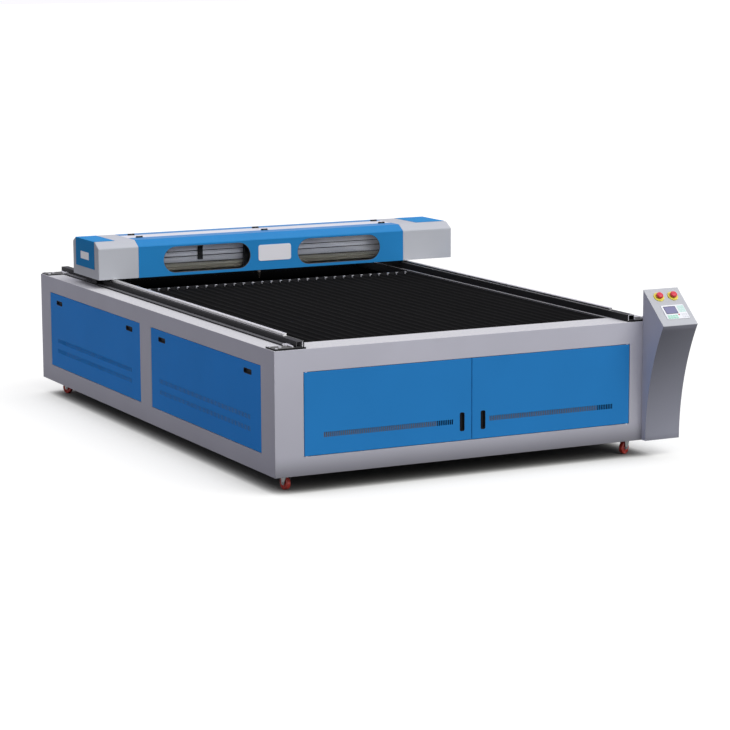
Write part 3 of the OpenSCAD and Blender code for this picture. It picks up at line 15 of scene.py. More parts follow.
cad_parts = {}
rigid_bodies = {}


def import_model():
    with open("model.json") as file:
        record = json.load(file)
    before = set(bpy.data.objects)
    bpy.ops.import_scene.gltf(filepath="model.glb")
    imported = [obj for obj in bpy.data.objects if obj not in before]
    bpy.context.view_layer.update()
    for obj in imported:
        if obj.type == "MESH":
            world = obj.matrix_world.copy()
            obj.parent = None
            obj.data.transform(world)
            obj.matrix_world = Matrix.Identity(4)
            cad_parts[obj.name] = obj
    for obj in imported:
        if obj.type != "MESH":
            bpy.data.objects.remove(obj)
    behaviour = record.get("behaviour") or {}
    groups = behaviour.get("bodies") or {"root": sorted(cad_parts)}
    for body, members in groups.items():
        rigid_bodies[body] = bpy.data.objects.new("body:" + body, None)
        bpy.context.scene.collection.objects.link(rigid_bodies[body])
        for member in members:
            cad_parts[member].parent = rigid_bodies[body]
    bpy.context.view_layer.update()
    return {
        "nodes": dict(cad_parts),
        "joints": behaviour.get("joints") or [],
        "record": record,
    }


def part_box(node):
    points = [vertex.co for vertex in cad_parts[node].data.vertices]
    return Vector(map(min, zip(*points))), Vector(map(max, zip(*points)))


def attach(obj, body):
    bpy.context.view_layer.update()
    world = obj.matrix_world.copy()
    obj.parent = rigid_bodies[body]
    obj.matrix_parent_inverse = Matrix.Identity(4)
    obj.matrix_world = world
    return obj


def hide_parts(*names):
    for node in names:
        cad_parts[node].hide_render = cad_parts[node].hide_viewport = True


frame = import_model()

MM = 0.001
NODES = frame["nodes"]
FINISHES = {}


# ---- shader building blocks ----

OUTPUT_KINDS = {"Colour": "NodeSocketColor", "Roughness": "NodeSocketFloat", "Height": "NodeSocketFloat"}

MOTTLE_SCALE = 2.2
SPECK_SCALE = 55.0
GRAIN_SCALE = 900.0
TARNISH_SCALE = 14.0
DUST_AND_TOP_LIGHT_COLOUR = (0.85, 0.85, 0.79, 1.0)
BUMP_STRENGTH = 0.1
BUMP_DEPTH = 0.2 * MM


def group_tree(name, inputs, outputs=("Colour",)):
    """A shader node group; each input is of the kind of its usual value. Returns the tree and the inputs."""
    tree = bpy.data.node_groups.new(name, "ShaderNodeTree")
    for label, value in inputs.items():
        if isinstance(value, float):
            kind = "NodeSocketFloat"
        else:
            kind = "NodeSocketColor" if len(value) == 4 else "NodeSocketVector"
        socket = tree.interface.new_socket(name=label, in_out="INPUT", socket_type=kind)
        socket.default_value = value
    for label in outputs:
        tree.interface.new_socket(name=label, in_out="OUTPUT", socket_type=OUTPUT_KINDS[label])
    return tree, tree.nodes.new("NodeGroupInput").outputs


def put_out(tree, **results):
    """Joins the results of a group to its outputs."""
    feed(tree.nodes.new("NodeGroupOutput"), results)
    return tree


def feed(node, inputs):
    """Gives each named input a link if its value is a socket, or else the plain value."""
    for key, value in inputs.items():
        if isinstance(value, bpy.types.NodeSocket):
            node.id_data.links.new(value, node.inputs[key])
        else:
            node.inputs[key].default_value = value


def add(tree, kind, settings=(), inputs=()):
    """A node with its settings and its inputs, which are sockets or plain values."""
    node = tree.nodes.new(kind)
    for key, value in dict(settings).items():
        setattr(node, key, value)
    feed(node, dict(inputs))
    return node


def computed(tree, operation, *terms):
    """The result of a Math node; each term is a socket or a number."""
    return add(tree, "ShaderNodeMath", {"operation": operation}, enumerate(terms)).outputs[0]


def ramp(tree, source, low, high, to_low=0.0, to_high=1.0, curve="LINEAR"):
    """Maps a value from low..high to to_low..to_high, held at both ends."""
    return add(tree, "ShaderNodeMapRange", {"interpolation_type": curve},
               {0: source, 1: low, 2: high, 3: to_low, 4: to_high}).outputs[0]


def mixed(tree, factor, first, second, blend="MIX"):
    """A colour mixed from two by a factor; each of the three is a socket or a plain value."""
    return add(tree, "ShaderNodeMix", {"data_type": "RGBA", "blend_type": blend},
               {0: factor, 6: first, 7: second}).outputs[2]


def scaled(tree, tint, factor):
    """A colour made paler or darker by a factor."""
    return add(tree, "ShaderNodeVectorMath", {"operation": "SCALE"}, {0: tint, 3: factor}).outputs[0]


def coordinates(tree, vector):
    """The X, Y and Z of a vector."""
    return add(tree, "ShaderNodeSeparateXYZ", inputs={0: vector}).outputs


def noise(tree, where, scale, detail):
    cloud = add(tree, "ShaderNodeTexNoise", inputs={"Vector": where, "Scale": scale, "Detail": detail})
    return cloud.outputs["Fac"]


def colour(red, green, blue):
    """A colour socket value from three linear parts."""
    return (red, green, blue, 1.0)


def make_powder_coat():
    """Sprayed and baked paint: faint mottling, orange-peel grain, and dust on faces that look up, which also
    makes those faces paler as painted light.
    """
    tree, given = group_tree(
        "powder_coat", {"Colour": colour(0.5, 0.5, 0.5), "Mottle": 0.04, "Gloss": 0.45, "Dust and top light": 0.10},
        ("Colour", "Roughness", "Height"))
    where = add(tree, "ShaderNodeTexCoord").outputs["Object"]
    cloud = ramp(tree, noise(tree, where, MOTTLE_SCALE, 3.0), 0.3, 0.7, -1.0, 1.0)
    swing = computed(tree, "MULTIPLY", cloud, given["Mottle"])
    shade = scaled(tree, given["Colour"], computed(tree, "ADD", 1.0, swing))
    up = coordinates(tree, add(tree, "ShaderNodeNewGeometry").outputs["Normal"])["Z"]
    specks = ramp(tree, noise(tree, where, SPECK_SCALE, 4.0), 0.35, 0.70, 0.4, 0.9)
    lying = computed(tree, "MULTIPLY", ramp(tree, up, 0.6, 1.0), specks)
    dust_and_top_light = computed(tree, "MULTIPLY", lying, given["Dust and top light"])
    grain = noise(tree, where, GRAIN_SCALE, 1.0)
    rough = computed(tree, "ADD", given["Gloss"], ramp(tree, grain, 0.2, 0.8, -0.05, 0.05))
    rough = computed(tree, "MULTIPLY_ADD", dust_and_top_light, 0.6, rough)
    return put_out(tree, Colour=mixed(tree, dust_and_top_light, shade, DUST_AND_TOP_LIGHT_COLOUR), Roughness=rough, Height=grain)


def front_facing(tree, normal):
    """1 on faces that look to the front, 0 on the others."""
    return ramp(tree, coordinates(tree, normal)["Y"], -0.2, -0.8)


def make_height_shade():
    """Painted shade: the paint darkens towards the foot of the machine, mostly on the side that people stand
    at; a level above 1 makes it paler there instead, as painted light.
    """
    tree, given = group_tree("height_shade", {
        "Colour": colour(0.5, 0.5, 0.5), "Low": 0.10, "High": 0.22, "Level": 0.5, "Elsewhere": 0.3})
    place = add(tree, "ShaderNodeNewGeometry").outputs
    height = coordinates(tree, place["Position"])["Z"]
    near_foot = ramp(tree, height, given["Low"], given["High"], 1.0, 0.0, "SMOOTHSTEP")
    weight = ramp(tree, front_facing(tree, place["Normal"]), 0.0, 1.0, given["Elsewhere"], 1.0)
    loss = computed(tree, "SUBTRACT", 1.0, given["Level"])
    for factor in (near_foot, weight):
        loss = computed(tree, "MULTIPLY", loss, factor)
    return put_out(tree, Colour=scaled(tree, given["Colour"], computed(tree, "SUBTRACT", 1.0, loss)))


def make_drawn_metal():
    """Bare metal that was ground or drawn: lines along one axis, and a cloudy sheen across them."""
    tree, given = group_tree(
        "drawn_metal", {"Colour": colour(0.6, 0.6, 0.6), "Lines": ALONG_X, "Gloss": 0.3, "Tarnish": 0.2},
        ("Colour", "Roughness", "Height"))
    where = add(tree, "ShaderNodeTexCoord").outputs["Object"]
    stretched = add(tree, "ShaderNodeVectorMath", {"operation": "MULTIPLY"}, {0: where, 1: given["Lines"]})
    lines = noise(tree, stretched.outputs[0], 1.0, 3.0)
    cloud = ramp(tree, noise(tree, where, TARNISH_SCALE, 4.0), 0.35, 0.7)
    stain = computed(tree, "MULTIPLY", cloud, given["Tarnish"])
    dull = mixed(tree, 1.0, given["Colour"], colour(0.62, 0.60, 0.58), "MULTIPLY")
    shade = scaled(tree, mixed(tree, stain, given["Colour"], dull), ramp(tree, lines, 0.25, 0.75, 0.9, 1.08))
    rough = computed(tree, "ADD", given["Gloss"], ramp(tree, lines, 0.2, 0.8, -0.06, 0.10))
    rough = computed(tree, "MULTIPLY_ADD", stain, 0.25, rough)
    return put_out(tree, Colour=shade, Roughness=rough, Height=lines)


def make_inner_side():
    """Painted light and shade on a ledge around the bed: its edges within the reach of the bed are painted
    black as shade, below a painted highlight along the lip.
    """
    tree, given = group_tree("inner_side", {
        "Colour": colour(0.5, 0.5, 0.5), "Reach X": 1.0, "Reach Y": 1.8, "Lip": 0.8})
    place = add(tree, "ShaderNodeNewGeometry").outputs
    spot = coordinates(tree, place["Position"])
    inside = ramp(tree, coordinates(tree, place["Normal"])["Z"], 0.7, 0.5)
    for axis in "XY":
        near = computed(tree, "LESS_THAN", computed(tree, "ABSOLUTE", spot[axis]), given["Reach " + axis])
        inside = computed(tree, "MULTIPLY", inside, near)
    below = computed(tree, "LESS_THAN", spot["Z"], given["Lip"])
    painted_lip_and_shade = mixed(tree, below, colour(1.0, 1.0, 0.96), colour(0.004, 0.004, 0.004))
    return put_out(tree, Colour=mixed(tree, inside, given["Colour"], painted_lip_and_shade))


def make_level_bands():
    """A drawn profile seen from the front: a dull foot, bands that grow paler upward as painted light, and
    dark lines painted as the shade in its grooves.
    """
    tree, given = group_tree("level_bands", {
        "Colour": colour(0.5, 0.5, 0.5), "Foot": colour(0.2, 0.2, 0.18), "Line 1": 0.9, "Line 2": 0.95,
        "Line 3": 1.0, "Half width": 3 * MM, "Lift": 3.0})
    place = add(tree, "ShaderNodeNewGeometry").outputs
    height = coordinates(tree, place["Position"])["Z"]
    above = computed(tree, "GREATER_THAN", height, given["Line 1"])
    painted_lift = ramp(tree, height, given["Line 1"], given["Line 3"], 1.0, given["Lift"])
    shade = mixed(tree, above, given["Foot"], scaled(tree, given["Colour"], painted_lift))
    for line in ("Line 1", "Line 2", "Line 3"):
        near = computed(tree, "COMPARE", height, given[line], given["Half width"])
        shade = mixed(tree, near, shade, colour(0.03, 0.03, 0.03))
    return put_out(tree, Colour=mixed(tree, front_facing(tree, place["Normal"]), given["Colour"], shade))


ALONG_X = (4.0, 400.0, 400.0)
ALONG_Y = (400.0, 4.0, 400.0)
ALONG_Z = (400.0, 400.0, 4.0)

POWDER_COAT = make_powder_coat()
LEVEL_BANDS = make_level_bands()
INNER_SIDE = make_inner_side()
HEIGHT_SHADE = make_height_shade()
DRAWN_METAL = make_drawn_metal()


# ---- kinds of finish ----

def new_finish(name):
    """A new material, kept under its name; returns it with its tree and its shader."""
    material = bpy.data.materials.new(name)
    material.use_nodes = True
    FINISHES[name] = material
    return material, material.node_tree, material.node_tree.nodes["Principled BSDF"]


def finish_with(name, group, values, metallic, specular):
    """A material: a group feeds colour, roughness and bump; the rest is set on the shader itself."""
    material, tree, shader = new_finish(name)
    worker = add(tree, "ShaderNodeGroup", {"node_tree": group}, values).outputs
    relief = add(tree, "ShaderNodeBump", inputs={"Strength": BUMP_STRENGTH, "Distance": BUMP_DEPTH,
                                                 "Height": worker["Height"]})
    feed(shader, {"Base Color": worker["Colour"], "Roughness": worker["Roughness"],
                  "Normal": relief.outputs["Normal"], "Metallic": metallic, "Specular IOR Level": specular})
    return material


def painted(name, tint, gloss=0.45, mottle=0.03, dust_and_top_light=0.08, specular=0.5):
    values = {"Colour": tint, "Mottle": mottle, "Gloss": gloss, "Dust and top light": dust_and_top_light}
    return finish_with(name, POWDER_COAT, values, 0.0, specular)


def bare_metal(name, tint, lines, gloss=0.3, tarnish=0.25, metallic=1.0):
    values = {"Colour": tint, "Lines": lines, "Gloss": gloss, "Tarnish": tarnish}
    return finish_with(name, DRAWN_METAL, values, metallic, 0.5)


def clear_sheet(name, tint, gloss, ior):
    """Clear glass that lets the studio light through to what is behind it."""
    _, tree, shader = new_finish(name)
    feed(shader, {"Base Color": tint, "Roughness": gloss, "IOR": ior, "Transmission Weight": 1.0})
    shadow = add(tree, "ShaderNodeLightPath").outputs["Is Shadow Ray"]
    clear = add(tree, "ShaderNodeBsdfTransparent", inputs={"Color": tint})
    both = add(tree, "ShaderNodeMixShader", inputs={0: shadow, 1: shader.outputs[0], 2: clear.outputs[0]})
    feed(tree.nodes["Material Output"], {"Surface": both.outputs[0]})


def coat_of(material):
    """The powder coat inside a painted finish."""
    groups = [node for node in material.node_tree.nodes if node.type == "GROUP"]
    return next(node for node in groups if node.node_tree == POWDER_COAT)


def shaded_low(material, *shades):
    """Adds painted shade by height to a painted finish: each is (low, high, level below, share on other
    sides).
    """
    coat = coat_of(material)
    tint = coat.inputs["Colour"].default_value
    for low, high, level, elsewhere in shades:
        values = {"Colour": tint, "Low": low, "High": high, "Level": level, "Elsewhere": elsewhere}
        shade = add(material.node_tree, "ShaderNodeGroup", {"node_tree": HEIGHT_SHADE}, values)
        tint = shade.outputs["Colour"]
    feed(coat, {"Colour": tint})
    return material


def banded(material, foot, bottom, *rises):
    """Adds the bands of a drawn profile, with their painted light and shade, to a painted finish; its dark
    lines rise so far above its bottom.
    """
    coat = coat_of(material)
    values = {"Line %d" % (k + 1): bottom + rise for k, rise in enumerate(rises)}
    values.update({"Colour": coat.inputs["Colour"].default_value, "Foot": foot})
    bands = add(material.node_tree, "ShaderNodeGroup", {"node_tree": LEVEL_BANDS}, values)
    feed(coat, {"Colour": bands.outputs["Colour"]})


def painted_shade_inside(material):
    """Adds the painted shade of the black inner edge of the right and rear ledges, and the painted highlight
    of their lip, to a painted finish, after its other shades.
    """
    right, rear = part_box("right_skin")[0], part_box("rear_skin")
    values = {"Colour": coat_of(material).outputs["Colour"], "Reach X": right.x + 4.25 * MM,
              "Reach Y": rear[0].y + 6 * MM, "Lip": rear[1].z - 6.5 * MM}
    edge = add(material.node_tree, "ShaderNodeGroup", {"node_tree": INNER_SIDE}, values)
    feed(material.node_tree.nodes["Principled BSDF"], {"Base Color": edge.outputs["Colour"]})


# ---- the finishes ----

def cabinet_paint(name):
    """The grey of the cabinet, with painted shade: a little darker all the way down and much darker at its
    foot; its high dust value also makes its tops paler, as painted light.
    """
    grey = painted(name, colour(0.57, 0.57, 0.625), 0.5, dust_and_top_light=0.80, specular=0.15)
    return shaded_low(grey, (0.08, 0.225, 0.42, 0.25), (0.15, 0.80, 0.86, 0.4))


def make_cabinet_finishes():
    """Doors, panels and vents, the bed's blades, the casters and the ducts."""
    cabinet_paint("body_grey")
    painted_shade_inside(cabinet_paint("ledge_grey"))
    painted("frame_steel", colour(0.11, 0.115, 0.12), 0.55)
    # door_blue and panel_blue are one blue paint: the side panels are set much paler than the doors, as
    # painted light for the shaded left side.
    painted("door_blue", colour(0.026, 0.232, 0.58), 0.42, dust_and_top_light=0.0, specular=0.06)
    painted("panel_blue", colour(0.040, 0.335, 0.92), 0.5, dust_and_top_light=0.0, specular=0.02)
    painted("shield_grey", colour(0.155, 0.137, 0.115), 0.6, dust_and_top_light=0.0, specular=0.1)
    # A near-black paint that stands in for the gantry's shadow over the rear bay and the shade inside the
    # doors: painted shade.
    painted("bay_shadow_black", colour(0.003, 0.003, 0.003), 0.9, 0.0, 0.0, specular=0.0)
    blades = painted("blade_steel", colour(0.040, 0.040, 0.038), 0.8, 0.05, 0.0, specular=0.0)
    blade_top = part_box("bed_blades")[1].z
    # Painted light: the blades' lower flanks are made paler, to lift the shade that falls between the blades.
    shaded_low(blades, (blade_top - 31 * MM, blade_top - 1 * MM, 2.3, 1.0))
    painted("caster_red", colour(0.66, 0.055, 0.035), 0.3)
    bare_metal("caster_zinc", colour(0.24, 0.25, 0.25), ALONG_Z)
    bare_metal("duct_steel", colour(0.55, 0.56, 0.58), ALONG_Y)


def make_gantry_finishes():
    """Caps, covers, beam, tube and windows."""
    # cap_grey is a copy of the cabinet's grey, set a little darker for how the light falls on the caps:
    # painted shade.
    painted("cap_grey", colour(0.53, 0.55, 0.575), 0.5, specular=0.15)
    # cover_blue and hatch_blue are the same blue paint again: the hatch on the side is set paler than the
    # lid, as painted light.
    painted("cover_blue", colour(0.024, 0.240, 0.555), 0.42, dust_and_top_light=0.03, specular=0.06)
    painted("hatch_blue", colour(0.025, 0.29, 0.65), 0.5, dust_and_top_light=0.0, specular=0.01)
    painted("strip_white", colour(0.74, 0.74, 0.76), 0.4)
    painted("badge_white", colour(0.84, 0.84, 0.86), 0.3)
    painted("belt_rubber", colour(0.12, 0.12, 0.125), 0.7)
    painted("motor_black", colour(0.015, 0.015, 0.016), 0.4)
    painted("rail_brown", colour(0.115, 0.105, 0.082), 0.5, dust_and_top_light=0.0, specular=0.1)
    painted("tray_brown", colour(0.26, 0.235, 0.18), 0.5, dust_and_top_light=0.0, specular=0.1)
    # The beam's bands grow paler upward as painted light, and its dark lines are painted shade in its
    # grooves.
    beam = painted("beam_grey", colour(0.21, 0.21, 0.223), 0.5, specular=0.1)
    banded(beam, colour(0.17, 0.16, 0.13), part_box("gantry_beam")[0].z, 46 * MM, 86.5 * MM, 119.2 * MM)
    bare_metal("head_brass", colour(0.34, 0.31, 0.26), ALONG_Z)
    bare_metal("aluminium", colour(0.60, 0.61, 0.63), ALONG_X)
    clear_sheet("laser_glass", colour(0.90, 0.92, 0.96), 0.05, 1.45)
    clear_sheet("window_glass", colour(0.93, 0.95, 0.96), 0.02, 1.3)


def make_rail_and_hardware_finishes():
    bare_metal("bright_steel", colour(0.80, 0.80, 0.81), ALONG_Y, 0.45, 0.15, 0.6)
    bare_metal("rail_steel", colour(0.74, 0.74, 0.72), ALONG_Y, 0.42, 0.15)
    # A pale paint that stands in for the light caught by the left rail's steel: painted light.
    painted("rail_painted_bright", colour(0.95, 0.95, 0.92), 0.4, 0.02, 0.0)
    bare_metal("cut_steel", colour(0.06, 0.06, 0.062), ALONG_X, 0.5, 0.2, 0.3)
    painted("plate_black", colour(0.013, 0.013, 0.013), 0.6, 0.05, 0.25, specular=0.1)
    painted("black_steel", colour(0.012, 0.012, 0.013), 0.6, 0.1, 0.02, specular=0.15)
    painted("pull_black", colour(0.007, 0.007, 0.008), 0.6, 0.05, 0.0, specular=0.12)
    painted("hinge_black", colour(0.012, 0.012, 0.013), 0.4, 0.05, 0.02)
    painted("screw_black", colour(0.06, 0.06, 0.065), 0.35, 0.05, 0.0)


def make_console_finishes():
    """The console's grey is painted shade: darker on its front than on its sides, and darker still towards
    its top.
    """
    grey = painted("console_grey", colour(0.57, 0.585, 0.67), 0.5, specular=0.15)
    shaded_low(grey, (1.2, 1.4, 0.54, 0.0), (0.80, 0.12, 0.66, 0.0))
    painted("panel_white", colour(0.52, 0.54, 0.55), 0.35)
    painted("estop_yellow", colour(0.85, 0.74, 0.07), 0.3)
    painted("estop_red", colour(0.75, 0.03, 0.05), 0.25)
    painted("case_white", colour(0.90, 0.92, 0.93), 0.3, 0.01, 0.0)
    painted("screen", colour(0.23, 0.23, 0.38), 0.15, 0.02, 0.0)
    painted("keypad", colour(0.35, 0.60, 0.48), 0.4)
    painted("key_mint", colour(0.60, 0.86, 0.76), 0.35, 0.02, 0.0)
    painted("key_green", colour(0.42, 0.78, 0.60), 0.35, 0.02, 0.0)
    painted("key_white", colour(0.80, 0.82, 0.83), 0.35, 0.02, 0.0)
    painted("lamp_red", colour(0.75, 0.03, 0.03), 0.2, 0.0, 0.0)


# The near-black finish of the rear bay sheet is painted shade, and the ledge and console finishes carry
# painted shade too.
OWN_FINISH = {"console_shell": "console_grey", "left_skin": "ledge_grey", "right_skin": "ledge_grey",
              "rear_skin": "ledge_grey", "gantry_beam": "beam_grey", "x_guide_rail": "rail_brown",
              "rear_bay_sheet": "bay_shadow_black", "rail_bases": "plate_black", "gantry_trucks": "black_steel",
              "carriage": "black_steel"}


def dress_nodes():
    """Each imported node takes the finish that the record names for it, or one of its own."""
    for part in frame["record"]["subparts"]:
        node = NODES[part["node"]]
        node.data.materials.clear()
        node.data.materials.append(FINISHES[OWN_FINISH.get(part["node"], part["material_slot"])])


# ---- outlines ----

BEND_STEPS = 5


def arc_points(cx, cy, radius, start, end, steps):
    """Points on an arc between two angles in degrees."""
    angles = [math.radians(start + (end - start) * k / steps) for k in range(steps + 1)]
    return [(cx + radius * math.cos(a), cy + radius * math.sin(a)) for a in angles]


def circle(radius, count):
    """Points around a circle about 0, 0."""
    angles = [math.tau * k / count for k in range(count)]
    return [(radius * math.cos(a), radius * math.sin(a)) for a in angles]


def rounded_rectangle(x0, y0, x1, y1, radius, steps=4):
    points = []
    for cx, cy, start in ((x1 - radius, y1 - radius, 0), (x0 + radius, y1 - radius, 90),
                          (x0 + radius, y0 + radius, 180), (x1 - radius, y0 + radius, 270)):
        points += arc_points(cx, cy, radius, start, start + 90, steps)
    return points


def rounded_line(points, radii):
    """A bent line in a plane: each inner corner becomes an arc of its radius."""
    line = [points[0]]
    for before, corner, after, radius in zip(points, points[1:], points[2:], radii):
        corner, back, on = Vector(corner), Vector(before) - Vector(corner), Vector(after) - Vector(corner)
        half = back.angle(on) / 2
        reach = radius / math.tan(half)
        start, end = corner + back.normalized() * reach, corner + on.normalized() * reach
        centre = corner + (back.normalized() + on.normalized()).normalized() * radius / math.sin(half)
        swing = (start - centre).angle_signed(end - centre)
        for k in range(BEND_STEPS + 1):
            spoke = start - centre
            spoke.rotate(Matrix.Rotation(-swing * k / BEND_STEPS, 2))
            line.append(tuple(centre + spoke))
    return line + [points[-1]]


def turned_rings(profile, segments):
    """Rings about z from a line of (radius, height) in millimetres."""
    return [[(x, y, z * MM) for x, y in circle(r * MM, segments)] for r, z in profile]


def mirrored(half):
    """A profile of (radius, height) from bottom to top, given its upper half from the axis out."""
    return [(r, -z) for r, z in half] + [(r, z) for r, z in reversed(half)]


def swept(line, stations):
    """The outline, given in y and z, repeated at several places along x."""
    return [[(x, y, z) for y, z in line] for x in stations]


# ---- shapes ----

def join_rings(bm, rings, ring_closed=True, caps=(True, True)):
    """Faces between neighbouring rings of points in space, with a face over either end."""
    rows = [[bm.verts.new(point) for point in ring] for ring in rings]
    for row, following in zip(rows, rows[1:]):
        count = len(row)
        for i in range(count if ring_closed else count - 1):
            j = (i + 1) % count
            bm.faces.new((row[i], row[j], following[j], following[i]))
    if caps[0]:
        bm.faces.new(rows[0][::-1])
    if caps[1]:
        bm.faces.new(rows[-1])


def merge_doubles(bm):
    """Joins points that lie on each other."""
    bmesh.ops.remove_doubles(bm, verts=bm.verts, dist=0.001 * MM)


def cut_sheet(bm, loops, thickness):
    """Flat sheet in the x-y plane below z = 0: the first loop is its outline, the others are holes."""
    curve = bpy.data.curves.new("cut_sheet", "CURVE")
    curve.dimensions = "2D"
    curve.fill_mode = "BOTH"
    curve.extrude = thickness / 2
    for points in loops:
        spline = curve.splines.new("POLY")
        spline.points.add(len(points) - 1)
        spline.use_cyclic_u = True
        for place, (x, y) in zip(spline.points, points):
            place.co = (x, y, 0.0, 1.0)
    holder = bpy.data.objects.new("cut_sheet", curve)
    flat = bpy.data.meshes.new_from_object(holder)
    flat.transform(Matrix.Translation((0, 0, -thickness / 2)))
    bm.from_mesh(flat)
    merge_doubles(bm)
    bpy.data.objects.remove(holder)
    bpy.data.curves.remove(curve)
    bpy.data.meshes.remove(flat)


def slab(bm, x0, y0, x1, y1, z0, z1, radius, edge=0.6 * MM):
    """A flat block with rounded corners and a softened top edge."""
    shoulder, least_radius = 0.3 * edge, 0.2 * MM
    rings = []
    for i, z in ((0.0, z0), (0.0, z1 - edge), (shoulder, z1 - shoulder), (edge, z1)):
        outline = rounded_rectangle(x0 + i, y0 + i, x1 - i, y1 - i, max(radius - i, least_radius))
        rings.append([(x, y, z) for x, y in outline])
    join_rings(bm, rings)


# ---- pieces ----

CREASE = math.radians(32)
EDGE_ANGLE = math.radians(30)


def facing(origin, across, up):
    """A place for flat work: x runs across, y up and z out of the face."""
    across, up = Vector(across), Vector(up)
    place = Matrix((across, up, across.cross(up))).transposed().to_4x4()
    place.translation = Vector(origin)
    return place


def facing_front(x, y, z):
    return facing((x, y, z), (1, 0, 0), (0, 0, 1))


def moved(place, x, y, z=0.0):
    """A place shifted in its own directions."""
    return place @ Matrix.Translation((x, y, z))


def piece_from(bm, name, finish, body, place=Matrix(), stands_for=(), slot=None, outward=True):
    """Turns the work into a piece that rides on a body, shaded smooth up to the crease angle."""
    if outward:
        bmesh.ops.recalc_face_normals(bm, faces=bm.faces)
    bm.transform(place)
    mesh = bpy.data.meshes.new(name)
    bm.to_mesh(mesh)
    bm.free()
    mesh.shade_smooth()
    mesh.set_sharp_from_angle(angle=CREASE)
    piece = bpy.data.objects.new(name, mesh)
    bpy.context.scene.collection.objects.link(piece)
    mesh.materials.append(FINISHES[finish])
    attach(piece, body)
    if stands_for:
        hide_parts(*stands_for)
    return piece


def sheet_piece(name, finish, body, place, loops, thickness, **rest):
    """A piece of flat sheet: the first loop is its outline, the others are holes."""
    bm = bmesh.new()
    cut_sheet(bm, loops, thickness)
    piece_from(bm, name, finish, body, place, **rest)


def block_piece(name, finish, body, place, *blocks, **rest):
    """A piece of flat blocks; each is given by the values that slab takes."""
    bm = bmesh.new()
    for block in blocks:
        slab(bm, *block)
    piece_from(bm, name, finish, body, place, **rest)


def turned_piece(name, finish, body, place, profile, segments, **rest):
    """A turned piece about z; the profile is (radius, height) in millimetres, from the bottom up."""
    bm = bmesh.new()
    join_rings(bm, turned_rings(profile, segments))
    piece_from(bm, name, finish, body, place, **rest)


def bent_piece(name, finish, body, rows, thickness, end_face=False, **rest):
    """A piece of bent sheet: the rows give its outer face, and its thickness goes to the inner side."""
    bm = bmesh.new()
    join_rings(bm, rows, False, (False, end_face))
    piece = piece_from(bm, name, finish, body, outward=False, **rest)
    sheet = piece.modifiers.new("thickness", "SOLIDIFY")
    sheet.thickness = thickness
    sheet.offset = -1.0
    sheet.use_even_offset = True
    return piece


# ---- doors and side panels ----

BEND = 2.6 * MM
SHEET = 2.0 * MM
TRAY_CORNER = 3 * MM
SHARP = 0.3 * MM
VENT_HEIGHT = 30 * MM
PULL_LONG = 104 * MM
PULL_SHORT = 27 * MM
PULL_CORNER = 8 * MM


def vent_slots(x0, x1, y0, width, pitch):
    """Round-ended slots side by side, as outlines to be cut out of a sheet."""
    end_radius, hair = 0.45 * width, 1e-6
    count = int((x1 - x0 - width) / pitch + hair) + 1
    starts = [x0 + i * pitch for i in range(count)]
    return [rounded_rectangle(x, y0, x + width, y0 + VENT_HEIGHT, end_radius, 3) for x in starts]


def folded_tray(name, finish, body, place, size, holes, **rest):
    """A sheet with its four edges bent back, its face in the x-y plane from 0, 0."""
    width, height, depth = size
    section = arc_points(BEND, -BEND, BEND, 90, 180, BEND_STEPS)
    section += [(0.0, -depth), (SHEET, -depth), (SHEET, -BEND), (BEND, -SHEET)]
    rings = []
    for i, z in section:
        outline = rounded_rectangle(i, i, width - i, height - i, max(TRAY_CORNER - i, SHARP))
        rings.append([(x, y, z) for x, y in outline])
    bm = bmesh.new()
    join_rings(bm, rings + rings[:1], caps=(False, False))
    face = rounded_rectangle(BEND, BEND, width - BEND, height - BEND, SHARP)
    cut_sheet(bm, [face] + holes, SHEET)
    piece_from(bm, name, finish, body, place, **rest)


def pull_hole(x, y, width, height):
    return rounded_rectangle(x - width / 2, y - height / 2, x + width / 2, y + height / 2, PULL_CORNER)


def flush_pull(name, place, body, width, height):
    """A recessed grip: a thin rim over the sheet and a dished cup behind it."""
    corner = 0.3 * min(width, height)
    section = [(2.0, -13.8), (0.6, -0.5), (-1.6, 0.1), (-1.5, 0.8), (0.3, 1.1), (1.6, 0.4),
               (2.6, -2.0), (3.2, -9.5), (4.6, -11.6), (6.5, -12.0)]
    rings = []
    for inset, z in section:
        x, y = width / 2 - inset * MM, height / 2 - inset * MM
        outline = rounded_rectangle(-x, -y, x, y, max(corner - inset * MM, 1.5 * MM), 6)
        rings.append([(x, y, z * MM) for x, y in outline])
    bm = bmesh.new()
    join_rings(bm, rings)
    piece_from(bm, name, "pull_black", body, place, slot="black_steel")


def make_door(side):
    """A front door with one row of vents and an upright pull near the seam."""
    node, body = side + "_front_door", side + "_door"
    low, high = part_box(node)
    width, height, depth = high.x - low.x, high.z - low.z, high.y - low.y
    place = facing_front(low.x, low.y, low.z)
    if side == "left":
        pull_x, vents_start, vents_end = width - 60.5 * MM, 117 * MM, width - 112.5 * MM
    else:
        pull_x, vents_start, vents_end = 70.5 * MM, 112.5 * MM, width - 107 * MM
    pull_y, vents_y, slot_width, slot_pitch = 107 * MM, 96 * MM, 7.6 * MM, 11.7 * MM
    holes = vent_slots(vents_start, vents_end, vents_y, slot_width, slot_pitch)
    holes.append(pull_hole(pull_x, pull_y, PULL_SHORT, PULL_LONG))
    folded_tray(side + "_door_sheet", "door_blue", body, place, (width, height, depth), holes,
                stands_for=[node], slot="panel_blue")
    flush_pull(side + "_door_pull", moved(place, pull_x, pull_y), body, PULL_SHORT, PULL_LONG)
    make_vent_shield(side, body, place, vents_start, vents_end, vents_y)


